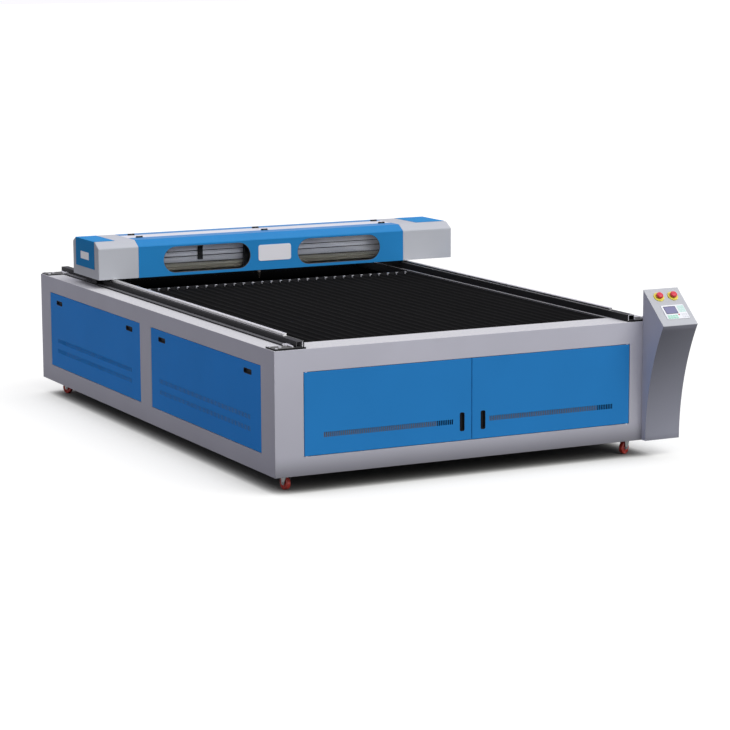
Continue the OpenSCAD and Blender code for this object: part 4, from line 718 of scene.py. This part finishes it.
def make_vent_shield(side, body, place, vents_start, vents_end, vents_y):
    """The grey shield behind a door's vents, and at their right end a black strip in its place, as painted
    shade inside the door.
    """
    over, painted_shade, back, thick = 6 * MM, 105 * MM, 4.5 * MM, 1 * MM
    split, y0, y1 = vents_end - painted_shade, vents_y - over, vents_y + VENT_HEIGHT + over
    for kind, finish, x0, x1 in (("shield", "shield_grey", vents_start - over, split),
                                 ("painted_shade", "bay_shadow_black", split, vents_end + over)):
        block_piece(side + "_vent_" + kind, finish, body, place,
                    (x0, y0, x1, y1, -back, thick - back, 1 * MM, 0.2 * MM), slot="black_steel")


def make_side_panel(side, end):
    """A lift-off side panel with two rows of vents and two flush pulls."""
    node, body = "%s_%s_panel" % (side, end), "%s_%s_side" % (side, end)
    low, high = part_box(node)
    width, height, depth = high.y - low.y, high.z - low.z, high.x - low.x
    if side == "left":
        place = facing((low.x, high.y, low.z), (0, -1, 0), (0, 0, 1))
    else:
        place = facing((high.x, low.y, low.z), (0, 1, 0), (0, 0, 1))
    vents_in, slot_width, slot_pitch = 130 * MM, 8 * MM, 20 * MM
    holes = []
    for row in (95 * MM, 162 * MM):
        holes += vent_slots(vents_in, width - vents_in, row, slot_width, slot_pitch)
    pull_in, pull_y = 173 * MM, height - 54 * MM
    pulls = (pull_in, width - pull_in)
    holes += [pull_hole(x, pull_y, PULL_LONG, PULL_SHORT) for x in pulls]
    folded_tray(node + "_sheet", "panel_blue", body, place, (width, height, depth), holes, stands_for=[node])
    for mark, x in zip("ab", pulls):
        flush_pull("%s_pull_%s" % (node, mark), moved(place, x, pull_y), body, PULL_LONG, PULL_SHORT)


# ---- gantry covers and caps ----

COVER = 2.0 * MM
FOLD = 12 * MM
LID_GAP = 1.5 * MM
CAP_GAP = 1 * MM
HINGE_HALF = 22 * MM
CAPS_LOW, CAPS_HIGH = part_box("end_caps")
STRIP_LOW, STRIP_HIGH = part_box("top_strip")
FRONT_FOLD = (66 * MM, 38 * MM)
REAR_FOLD = (47 * MM, 26 * MM)


def shell_line(y_end=None, y_start=None):
    """The gantry's outline from the front foot over the top to the back foot, or part of it."""
    y0, y1, z0, z1 = CAPS_LOW.y, CAPS_HIGH.y, CAPS_LOW.z, CAPS_HIGH.z
    front = [(y0, z0), (y0, z1 - FRONT_FOLD[1]), (y0 + FRONT_FOLD[0], z1)]
    rear = [(y1 - REAR_FOLD[0], z1), (y1, z1 - REAR_FOLD[1]), (y1, z0)]
    if y_end is not None:
        return rounded_line(front + [(y_end, z1)], (FOLD, FOLD))
    if y_start is not None:
        return rounded_line([(y_start, z1)] + rear, (FOLD, FOLD))
    return rounded_line(front + rear, (FOLD,) * 4)


def make_front_cover():
    """The windowed front lid: a pierced wall below, and the folded top that the hinges carry."""
    low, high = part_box("front_cover")
    line = shell_line(y_end=STRIP_LOW.y - LID_GAP)
    bent_piece("front_cover_top", "cover_blue", "front_cover", swept(line[1:], (high.x, low.x)), COVER,
               stands_for=["front_cover"], slot="panel_blue")
    glazed_edge, left_length, right_length, end_flat = 10 * MM, 613 * MM, 611 * MM, 0.1 * MM
    panes_low, panes_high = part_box("window_panes")
    x0, z0 = panes_low.x + glazed_edge, panes_low.z + glazed_edge
    x1, z1 = panes_high.x - glazed_edge, panes_high.z - glazed_edge
    spans = [(x0, x0 + left_length), (x1 - right_length, x1)]

    def opening(span, inset):
        """A window's outline with half-round ends, drawn in by the inset."""
        radius = (z1 - z0) / 2 - inset - end_flat
        return rounded_rectangle(span[0] + inset, z0 + inset, span[1] - inset, z1 - inset, radius, 16)

    wall = rounded_rectangle(low.x, low.z, high.x, line[1][1], SHARP)
    holes = [opening(span, 0.0) for span in spans]
    place = facing_front(0, low.y, 0)
    sheet_piece("front_cover_wall", "cover_blue", "front_cover", place, [wall] + holes, COVER,
                slot="panel_blue")
    seal_back, seal_thick, seal_insets = 1.0 * MM, 1.2 * MM, (0.3 * MM, 2.6 * MM)
    for mark, span in zip("ab", spans):
        sheet_piece("window_seal_" + mark, "shield_grey", "front_cover", moved(place, 0, 0, -seal_back),
                    [opening(span, inset) for inset in seal_insets], seal_thick, slot="black_steel")


def make_rear_cover():
    low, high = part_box("rear_cover")
    line = shell_line(y_start=STRIP_HIGH.y + LID_GAP)
    bent_piece("rear_cover_sheet", "cover_blue", "rear_cover", swept(line, (high.x, low.x)), COVER,
               stands_for=["rear_cover"], slot="panel_blue")


def make_sensor_plate():
    """The flared plate that carries the sensor on the beam's face."""
    low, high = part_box("sensor_bracket")
    x0, x1, z0, flare = low.x + 25 * MM, high.x + 9 * MM, low.z - 4 * MM, 26 * MM
    outline = [(x0, z0), (x1, z0), (x1, high.z - flare)]
    outline += arc_points(x1 + flare, high.z - flare, flare, 172, 90, 8) + [(x0, high.z)]
    sheet_piece("sensor_plate", "black_steel", "gantry", facing_front(0, low.y, 0), [outline], high.y - low.y,
                stands_for=["sensor_bracket"])


def make_beam_tray():
    """The upright lip of the tray below the beam."""
    rail_low, rail_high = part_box("x_guide_rail")
    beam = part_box("gantry_beam")[0]
    behind, above, tall, thick = 60 * MM, 4 * MM, 40 * MM, 1.5 * MM
    top = beam.z + above
    block_piece("beam_tray", "tray_brown", "gantry", facing_front(0, beam.y + behind, 0),
                (rail_low.x, top - tall, rail_high.x, top, 0.0, thick, 2 * MM, 0.3 * MM), slot="black_steel")


def make_cap(side):
    """An end cap: the folded outline, rounded over into a flat end plate."""
    cover_low, cover_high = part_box("front_cover")
    if side == "left":
        x_out, x_in, toward = CAPS_LOW.x, cover_low.x - CAP_GAP, 1
    else:
        x_out, x_in, toward = CAPS_HIGH.x, cover_high.x + CAP_GAP, -1
    line = shell_line()
    y_mid, foot = (CAPS_LOW.y + CAPS_HIGH.y) / 2, CAPS_LOW.z
    rim, rim_steps, thick = 5 * MM, 4, 2.5 * MM
    rows = swept(line, (x_in, x_out + toward * rim))
    for k in range(1, rim_steps + 1):
        angle = math.radians(90 * k / rim_steps)
        inset = rim * (1 - math.cos(angle))
        narrow, lower = 1 - inset / (CAPS_HIGH.y - y_mid), 1 - inset / (CAPS_HIGH.z - foot)
        shrunk = [(y_mid + (y - y_mid) * narrow, foot + (z - foot) * lower) for y, z in line]
        rows += swept(shrunk, [x_out + toward * rim * (1 - math.sin(angle))])
    cap = bent_piece(side + "_cap", "cap_grey", "gantry", rows, thick, True, stands_for=["end_caps"],
                     slot="body_grey")
    if side == "right":
        cap.data.flip_normals()


def make_hatch(side):
    """A thin plate bent over the outer top edge of a cap."""
    low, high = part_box("end_hatches")
    corner, thick = 3 * MM, 1.5 * MM
    if side == "left":
        x_in, x_out, stations = low.x + 141.5 * MM, low.x, (low.y + 337 * MM, low.y)
    else:
        x_in, x_out, stations = high.x - 219.5 * MM, high.x, (high.y - 317 * MM, high.y)
    line = rounded_line([(x_in, high.z), (x_out, high.z), (x_out, low.z)], (corner,))
    rows = [[(x, y, z) for x, z in line] for y in stations]
    bent_piece(side + "_hatch", "hatch_blue", "gantry", rows, thick, stands_for=["end_hatches"],
               slot="panel_blue")


def make_lid_hinges(body, y, toward, centres):
    """The halves of the hinges that turn with a lid: a leaf and its middle knuckle."""
    leaf_near, leaf_far, leaf_thick = 5.5 * MM, 11 * MM, 2.5 * MM
    neck_half, neck_near, neck_far, pin_up = 7 * MM, 1 * MM, 5.6 * MM, 5 * MM
    knuckle = [(-7, 4.4), (-6.5, 4.9), (6.5, 4.9), (7, 4.4)]
    z = CAPS_HIGH.z
    bm = bmesh.new()
    for x in centres:
        near, far = sorted((y + toward * leaf_near, y + toward * leaf_far))
        slab(bm, x - HINGE_HALF, near, x + HINGE_HALF, far, z, z + leaf_thick, 1 * MM)
        near, far = sorted((y + toward * neck_near, y + toward * neck_far))
        slab(bm, x - neck_half, near, x + neck_half, far, z, z + leaf_thick, 0.4 * MM)
        join_rings(bm, [[(x + s * MM, y + dy, z + pin_up + dz) for dy, dz in circle(r * MM, 20)]
                        for s, r in knuckle])
    piece_from(bm, body + "_hinges", "hinge_black", body, slot="black_steel")


def make_all_lid_hinges():
    """Three hinges on each lid: two near its ends and one near its middle."""
    low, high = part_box("cover_hinges")
    first, last = low.x + HINGE_HALF, high.x - HINGE_HALF
    middle = (STRIP_LOW.x + STRIP_HIGH.x) / 2 + 12 * MM
    make_lid_hinges("front_cover", STRIP_LOW.y - LID_GAP, -1, (first, middle, last - 14 * MM))
    make_lid_hinges("rear_cover", STRIP_HIGH.y + LID_GAP, 1, (first, middle, last))


def make_badge(name, body, place, width, height, thick, radius, edge):
    """A bare white plate about the middle of its place."""
    x, y = width / 2, height / 2
    block = (-x, -y, x, y, 0.0, thick, radius, edge)
    block_piece(name, "badge_white", body, place, block, slot="strip_white")


def make_badges():
    """Two bare white plates: one on the front lid between the windows, one on the left hatch."""
    middle = (STRIP_LOW.x + STRIP_HIGH.x) / 2 + 3.5 * MM
    front = facing_front(middle, CAPS_LOW.y, CAPS_LOW.z + 111.5 * MM)
    make_badge("front_badge", "front_cover", front, 235 * MM, 105 * MM, 2.5 * MM, 15 * MM, 1 * MM)
    low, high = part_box("end_hatches")
    centre = (low.x, (low.y + high.y) / 2 + 1 * MM, high.z - 105.5 * MM)
    left = facing(centre, (0, -1, 0), (0, 0, 1))
    make_badge("left_plate", "gantry", left, 147 * MM, 48 * MM, 0.6 * MM, 4 * MM, 0.2 * MM)


# ---- rails ----

RAIL = 20 * MM
TUBE = 40 * MM
TUBE_WALL = 4 * MM


def make_guide_rail(side):
    """A ground rail with hollow flanks and a row of sunk screws."""
    low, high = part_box("guide_rails")
    x0 = low.x if side == "left" else high.x - RAIL
    middle, length = x0 + RAIL / 2, high.y - low.y
    half = [(9.8, 0.0), (10.0, 0.4), (10.0, 3.6), (6.4, 5.4), (6.4, 8.4), (10.0, 10.2), (10.0, 11.0)]
    section = half + [(-x, z) for x, z in reversed(half)]
    bm = bmesh.new()
    join_rings(bm, [[(middle + x * MM, y, low.z + z * MM) for x, z in section] for y in (low.y, high.y)])
    # The left rail takes a pale paint that stands in for the light its steel catches, as painted light; the
    # right rail keeps bare steel.
    piece_from(bm, side + "_guide_rail", "rail_painted_bright" if side == "left" else "rail_steel", "cabinet",
               stands_for=["guide_rails"], slot="bright_steel")
    first, pitch, end_room, top_thick, hole_radius = 34 * MM, 60 * MM, 50 * MM, 4 * MM, 4.8 * MM
    centres = [first + pitch * k for k in range(int((length - end_room) / pitch) + 1)]
    top = rounded_rectangle(0, 0, RAIL, length, 0.5 * MM)
    holes = [arc_points(RAIL / 2, y, hole_radius, 0, 345, 23) for y in centres]
    sheet_piece(side + "_rail_top", "rail_steel", "cabinet", Matrix.Translation((x0, low.y, high.z)),
                [top] + holes, top_thick, slot="bright_steel")
    make_rail_screws(side, middle, [low.y + y for y in centres], high.z)
    if side == "right":
        # Painted shade: a black block fills the hollow flank of the right rail.
        side_gap, end_gap, z0, z1 = 0.2 * MM, 0.5 * MM, low.z + 4.3 * MM, low.z + 9.9 * MM
        block_piece("right_rail_painted_shade", "pull_black", "cabinet", Matrix(),
                    (x0 + side_gap, low.y + end_gap, x0 + RAIL - side_gap, high.y - end_gap, z0, z1,
                     0.4 * MM, 0.2 * MM), slot="black_steel")


def make_rail_screws(side, x, centres, z):
    """Socket screws sunk below the top of a rail."""
    bm = bmesh.new()
    for y in centres:
        rings = turned_rings([(4.3, -4), (4.3, -1.6), (3.9, -1.3), (2.2, -1.3), (2.0, -3)], 12)
        join_rings(bm, [[(x + dx, y + dy, z + dz) for dx, dy, dz in ring] for ring in rings])
    piece_from(bm, side + "_rail_screws", "screw_black", "cabinet", slot="black_steel")


def make_tube_ends():
    """The cut ends of the two rail tubes at the front, with white painted highlights on the walls that catch
    the light, and a pale lining inside the left tube as painted light.
    """
    low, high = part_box("rail_tubes")
    height, ring_thick, rim_thick, inside_thick = high.z - low.z, 0.6 * MM, 0.5 * MM, 0.4 * MM
    rounding = (0.5 * MM, 0.1 * MM)
    painted_highlight_walls = {
        "left": [(TUBE - TUBE_WALL, 2 * MM, TUBE, height - 2 * MM)],
        "right": [(0.0, 1 * MM, TUBE_WALL, height), (TUBE_WALL, height - TUBE_WALL, TUBE, height)]}
    loops = [rounded_rectangle(i, i, TUBE - i, height - i, radius)
             for i, radius in ((0.0, 2.5 * MM), (TUBE_WALL, 0.8 * MM))]
    for side, x0 in (("left", low.x), ("right", high.x - TUBE)):
        place = facing_front(x0, low.y - ring_thick, low.z)
        sheet_piece(side + "_tube_end", "cut_steel", "cabinet", place, loops, ring_thick, slot="bright_steel")
        block_piece(side + "_tube_painted_highlight", "badge_white", "cabinet", place,
                    *[(*wall, 0.0, rim_thick, *rounding) for wall in painted_highlight_walls[side]], slot="bright_steel")
    margin, reach = 5 * MM, 160 * MM
    inner_wall = facing((low.x + TUBE - TUBE_WALL, low.y, low.z), (0, 0, 1), (0, 1, 0))
    block_piece("left_tube_painted_light", "badge_white", "cabinet", inner_wall,
                (margin, 0.0, height - margin, reach, 0.0, inside_thick, *rounding), slot="bright_steel")


def make_plate_edges():
    """The dark edges of the two front end plates of the rails."""
    low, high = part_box("rail_bases")
    reach, back, proud, sunk, tall = 185 * MM, 122 * MM, 0.6 * MM, 1 * MM, 10 * MM
    for side, x_out, toward in (("left", low.x, 1), ("right", high.x, -1)):
        blocks = []
        for x_in, y0, y1 in ((reach, low.y - proud, low.y + sunk), (sunk, low.y + sunk, low.y + back)):
            x0, x1 = sorted((x_out - toward * proud, x_out + toward * x_in))
            blocks.append((x0, y0, x1, y1, low.z, low.z + tall, 0.4 * MM, 0.2 * MM))
        block_piece(side + "_plate_edge", "pull_black", "cabinet", Matrix(), *blocks, slot="black_steel")


# ---- casters ----

def make_wheel(corner):
    """A tyre with rounded shoulders on a dished hub with a steel boss."""
    joint = next(j for j in frame["joints"] if j["name"] == "roll_" + corner)
    place = Vector(joint["axis"]).to_track_quat("Z", "Y").to_matrix().to_4x4()
    place.translation = Vector(joint["pos_m"])
    body = "wheel_" + corner
    tyre = [(12.0, 11.2), (13.5, 8.2), (24.0, 7.6), (26.5, 11.6), (28.0, 12.5), (33.0, 12.4), (35.8, 11.2),
            (37.2, 8.6), (37.5, 5.0)]
    turned_piece(body, "caster_red", body, place, mirrored(tyre), 48, stands_for=["caster_wheel_" + corner])
    boss = [(6.0, 14.0), (10.4, 13.6), (11.0, 12.8)]
    turned_piece("wheel_boss_" + corner, "caster_zinc", body, place, mirrored(boss), 32)


# ---- console; its places are in millimetres on the sloping panel ----

CONSOLE_DEPTH = 219
CONSOLE_DROP = 187
STOPS_X = {"left": 74.5, "right": 169.5}
STOPS_Y = -66
CONTROLLER = (51.5, -241)
CONTROLLER_SIZE = (152, 107)
CONTROLLER_THICK = 4
CONTROLLER_LAMP = (141.5, -210)


def on_panel(x, y, z=0.0):
    """A spot on the sloping control panel: x from its left edge, y up the slope from its top edge."""
    tilt = math.atan2(CONSOLE_DROP, CONSOLE_DEPTH)
    low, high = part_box("control_panel")
    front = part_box("left_front_door")[0].y
    place = facing((low.x, front, high.z), (1, 0, 0), (0, math.cos(tilt), math.sin(tilt)))
    return moved(place, x * MM, y * MM, z * MM)


def make_stop(side):
    """A mushroom button over its round yellow collar."""
    place = on_panel(STOPS_X[side], STOPS_Y)
    node, body = side + "_estop_button", side + "_estop"
    stem = [(8.0, -8.4), (8.0, 11.6), (13.0, 12.4), (13.0, 13.6)]
    turned_piece(side + "_stop_stem", "pull_black", body, place, stem, 32, stands_for=[node],
                 slot="estop_red")
    cap = [(14.0, 13.2), (19.8, 13.4), (20.8, 14.4), (21.0, 16.4), (20.8, 19.8), (20.0, 22.6), (18.1, 24.8),
           (15.1, 26.2), (11.1, 26.9), (5.0, 27.0)]
    turned_piece(side + "_stop_cap", "estop_red", body, place, cap, 48, stands_for=[node])
    collar = [(8.3, 0.0), (32.8, 0.0), (32.8, 4.4), (32.2, 5.5), (30.8, 6.0), (22.0, 6.0), (20.0, 5.2),
              (8.3, 5.2)]
    rings = turned_rings(collar, 64)
    bm = bmesh.new()
    join_rings(bm, rings + rings[:1], caps=(False, False))
    merge_doubles(bm)
    piece_from(bm, side + "_stop_collar", "estop_yellow", "cabinet", place, ["estop_collars"])


def key_field(name, finish, first, size, step=(0, 0), columns=1, rows=1, height=1.5, radius=1.2):
    """Keys in rows on the controller, placed from its lower left corner."""
    blocks = []
    for row in range(rows):
        for column in range(columns):
            x, y = first[0] + column * step[0], first[1] + row * step[1]
            block = (x, y, x + size[0], y + size[1], 0.0, height, radius, 0.4)
            blocks.append([value * MM for value in block])
    block_piece(name, finish, "cabinet", on_panel(*CONTROLLER, CONTROLLER_THICK), *blocks,
                stands_for=["panel_keys"], slot="keypad")


def make_controller():
    """The controller's white case with its screen, its keys and its lamp."""
    case = [value * MM for value in (0.0, 0.0, *CONTROLLER_SIZE, 0.0, CONTROLLER_THICK, 6, 1)]
    block_piece("controller_case", "case_white", "cabinet", on_panel(*CONTROLLER), case,
                stands_for=["controller_plate"], slot="panel_white")
    key_field("screen_frame", "pull_black", (11, 40), (81, 57), height=0.4, radius=2)
    key_field("screen", "screen", (14, 43), (75, 51), height=0.9, radius=1)
    key_field("menu_keys", "key_mint", (104, 49), (13, 10), (15.5, 13), 3, 4)
    key_field("row_keys", "key_green", (9, 3), (15, 12), (18, 15), 4, 2)
    key_field("arrow_keys", "key_white", (109, 7), (11, 12), (14, 18), 3, 2)
    turned_piece("lamp", "lamp_red", "cabinet", on_panel(*CONTROLLER_LAMP, CONTROLLER_THICK),
                 [(4.4, 0.0), (4.4, 1.0), (3.6, 2.0), (1.6, 2.5)], 24, slot="keypad")


# ---- the whole part ----

EDGE_ROUNDS_MM = {
    "console_shell": 1.5, "control_panel": 1.0, "front_skin": 1.5, "rear_skin": 1.5, "left_skin": 1.0,
    "right_skin": 1.0, "top_strip": 0.6, "service_panel": 0.6, "belt_clamps": 0.6, "rail_tubes": 1.2,
    "rail_bases": 0.6}


def soften_nodes():
    """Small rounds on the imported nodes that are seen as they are."""
    for name, width in EDGE_ROUNDS_MM.items():
        weld = NODES[name].modifiers.new("weld", "WELD")
        weld.merge_threshold = 0.01 * MM
        edge = NODES[name].modifiers.new("edges", "BEVEL")
        edge.width = width * MM
        edge.segments = 2
        edge.limit_method = "ANGLE"
        edge.angle_limit = EDGE_ANGLE


def make_pieces():
    for side in ("left", "right"):
        make_door(side)
        for end in ("front", "rear"):
            make_side_panel(side, end)
        make_cap(side)
        make_hatch(side)
        make_guide_rail(side)
        make_stop(side)
    make_front_cover()
    make_rear_cover()
    make_sensor_plate()
    make_beam_tray()
    make_all_lid_hinges()
    make_badges()
    make_tube_ends()
    make_plate_edges()
    for corner in ("fl", "fr", "rl", "rr"):
        make_wheel(corner)
    make_controller()


def flatten_faces():
    """Large faces stay flat beside small rounds: the normals of the made pieces follow the face areas."""
    for piece in bpy.context.scene.objects:
        if piece.type == "MESH" and piece.name not in NODES:
            piece.modifiers.new("normals", "WEIGHTED_NORMAL").keep_sharp = True


# ---- studio ----

FLOOR_SIZE = 240.0
CONTACT_REACH = 0.6
SKY_COLOUR = (0.98, 0.96, 1.10, 1.0)
SKY_LOW = 0.28
SKY_HIGH = 0.58
LAMP_LEVEL = 0.66
LAMP_FROM = (0.28, -0.68, 0.68)
LAMP_SPREAD = math.radians(55)
CAMERA_AT = (-6.86475, -14.0409, 2.9408)
CAMERA_YAW, CAMERA_PITCH, CAMERA_ROLL = (math.radians(a) for a in (26.509, 9.372, -0.288))
SENSOR_WIDTH = 36.0
FOCAL_LENGTH = 124.486
FAR_END = 300.0


def camera_sees(tree, *kinds):
    """1 on the kinds of ray that show the backdrop as it is, 0 on the light that falls on the object."""
    path = add(tree, "ShaderNodeLightPath")
    seen = path.outputs["Is Camera Ray"]
    for kind in kinds:
        seen = computed(tree, "MAXIMUM", seen, path.outputs[kind])
    return seen


def make_floor():
    """A wide floor: white to the eye, but dark enough not to light the object from below; where the camera
    sees it, an emission driven by ambient occlusion paints the contact shadow.
    """
    bpy.ops.mesh.primitive_plane_add(size=FLOOR_SIZE, location=(0, 0, 0))
    floor = bpy.context.object
    floor.name = "floor"
    material, tree, shader = new_finish("floor_paint")
    seen = camera_sees(tree, "Is Glossy Ray")
    tint = mixed(tree, seen, colour(0.12, 0.12, 0.12), colour(0.30, 0.30, 0.28))
    near = add(tree, "ShaderNodeAmbientOcclusion", {"samples": 16}, {"Distance": CONTACT_REACH}).outputs["AO"]
    painted_contact_shadow = ramp(tree, near, 0.17, 0.73, 0.0, 0.68, "SMOOTHSTEP")
    painted_floor_light = computed(tree, "ADD", painted_contact_shadow, ramp(tree, near, 0.5, 1.0, 0.0, 0.14))
    painted_floor_light = computed(tree, "MULTIPLY", painted_floor_light, seen)
    feed(shader, {"Base Color": tint, "Roughness": 0.9, "Specular IOR Level": 0.0,
                  "Emission Color": colour(1.0, 1.0, 1.0), "Emission Strength": painted_floor_light})
    floor.data.materials.append(material)


def make_sky():
    """An even pale sky that grows brighter upward, and white where the camera sees it."""
    world = bpy.data.worlds.new("studio")
    bpy.context.scene.world = world
    world.use_nodes = True
    tree = world.node_tree
    height = coordinates(tree, add(tree, "ShaderNodeTexCoord").outputs["Generated"])["Z"]
    seen = camera_sees(tree, "Is Glossy Ray", "Is Transmission Ray")
    strength = ramp(tree, seen, 0.0, 1.0, ramp(tree, height, 0.0, 1.0, SKY_LOW, SKY_HIGH), 1.0)
    feed(tree.nodes["Background"], {"Color": SKY_COLOUR, "Strength": strength})


def make_lamp():
    """One broad lamp from above the front."""
    lamp = bpy.data.lights.new("key", "SUN")
    lamp.angle = LAMP_SPREAD
    lamp.energy = LAMP_LEVEL * math.pi
    holder = bpy.data.objects.new("key", lamp)
    bpy.context.scene.collection.objects.link(holder)
    holder.rotation_euler = Vector(LAMP_FROM).to_track_quat("Z", "Y").to_euler()


def make_camera():
    lens = bpy.data.cameras.new("camera")
    lens.sensor_width = SENSOR_WIDTH
    lens.lens = FOCAL_LENGTH
    lens.clip_end = FAR_END
    camera = bpy.data.objects.new("camera", lens)
    bpy.context.scene.collection.objects.link(camera)
    level = Vector((math.sin(CAMERA_YAW), math.cos(CAMERA_YAW), 0.0))
    ahead = level * math.cos(CAMERA_PITCH) - Vector((0.0, 0.0, math.sin(CAMERA_PITCH)))
    right = Vector((math.cos(CAMERA_YAW), -math.sin(CAMERA_YAW), 0.0))
    up = right.cross(ahead)
    turn_cos, turn_sin = math.cos(CAMERA_ROLL), math.sin(CAMERA_ROLL)
    right, up = right * turn_cos + up * turn_sin, up * turn_cos - right * turn_sin
    basis = Matrix((right, up, -ahead)).transposed().to_4x4()
    basis.translation = Vector(CAMERA_AT)
    camera.matrix_world = basis
    bpy.context.scene.camera = camera
    bpy.context.scene.view_settings.view_transform = "Standard"


make_cabinet_finishes()
make_gantry_finishes()
make_rail_and_hardware_finishes()
make_console_finishes()
dress_nodes()
soften_nodes()
make_pieces()
flatten_faces()
make_floor()
make_sky()
make_lamp()
make_camera()
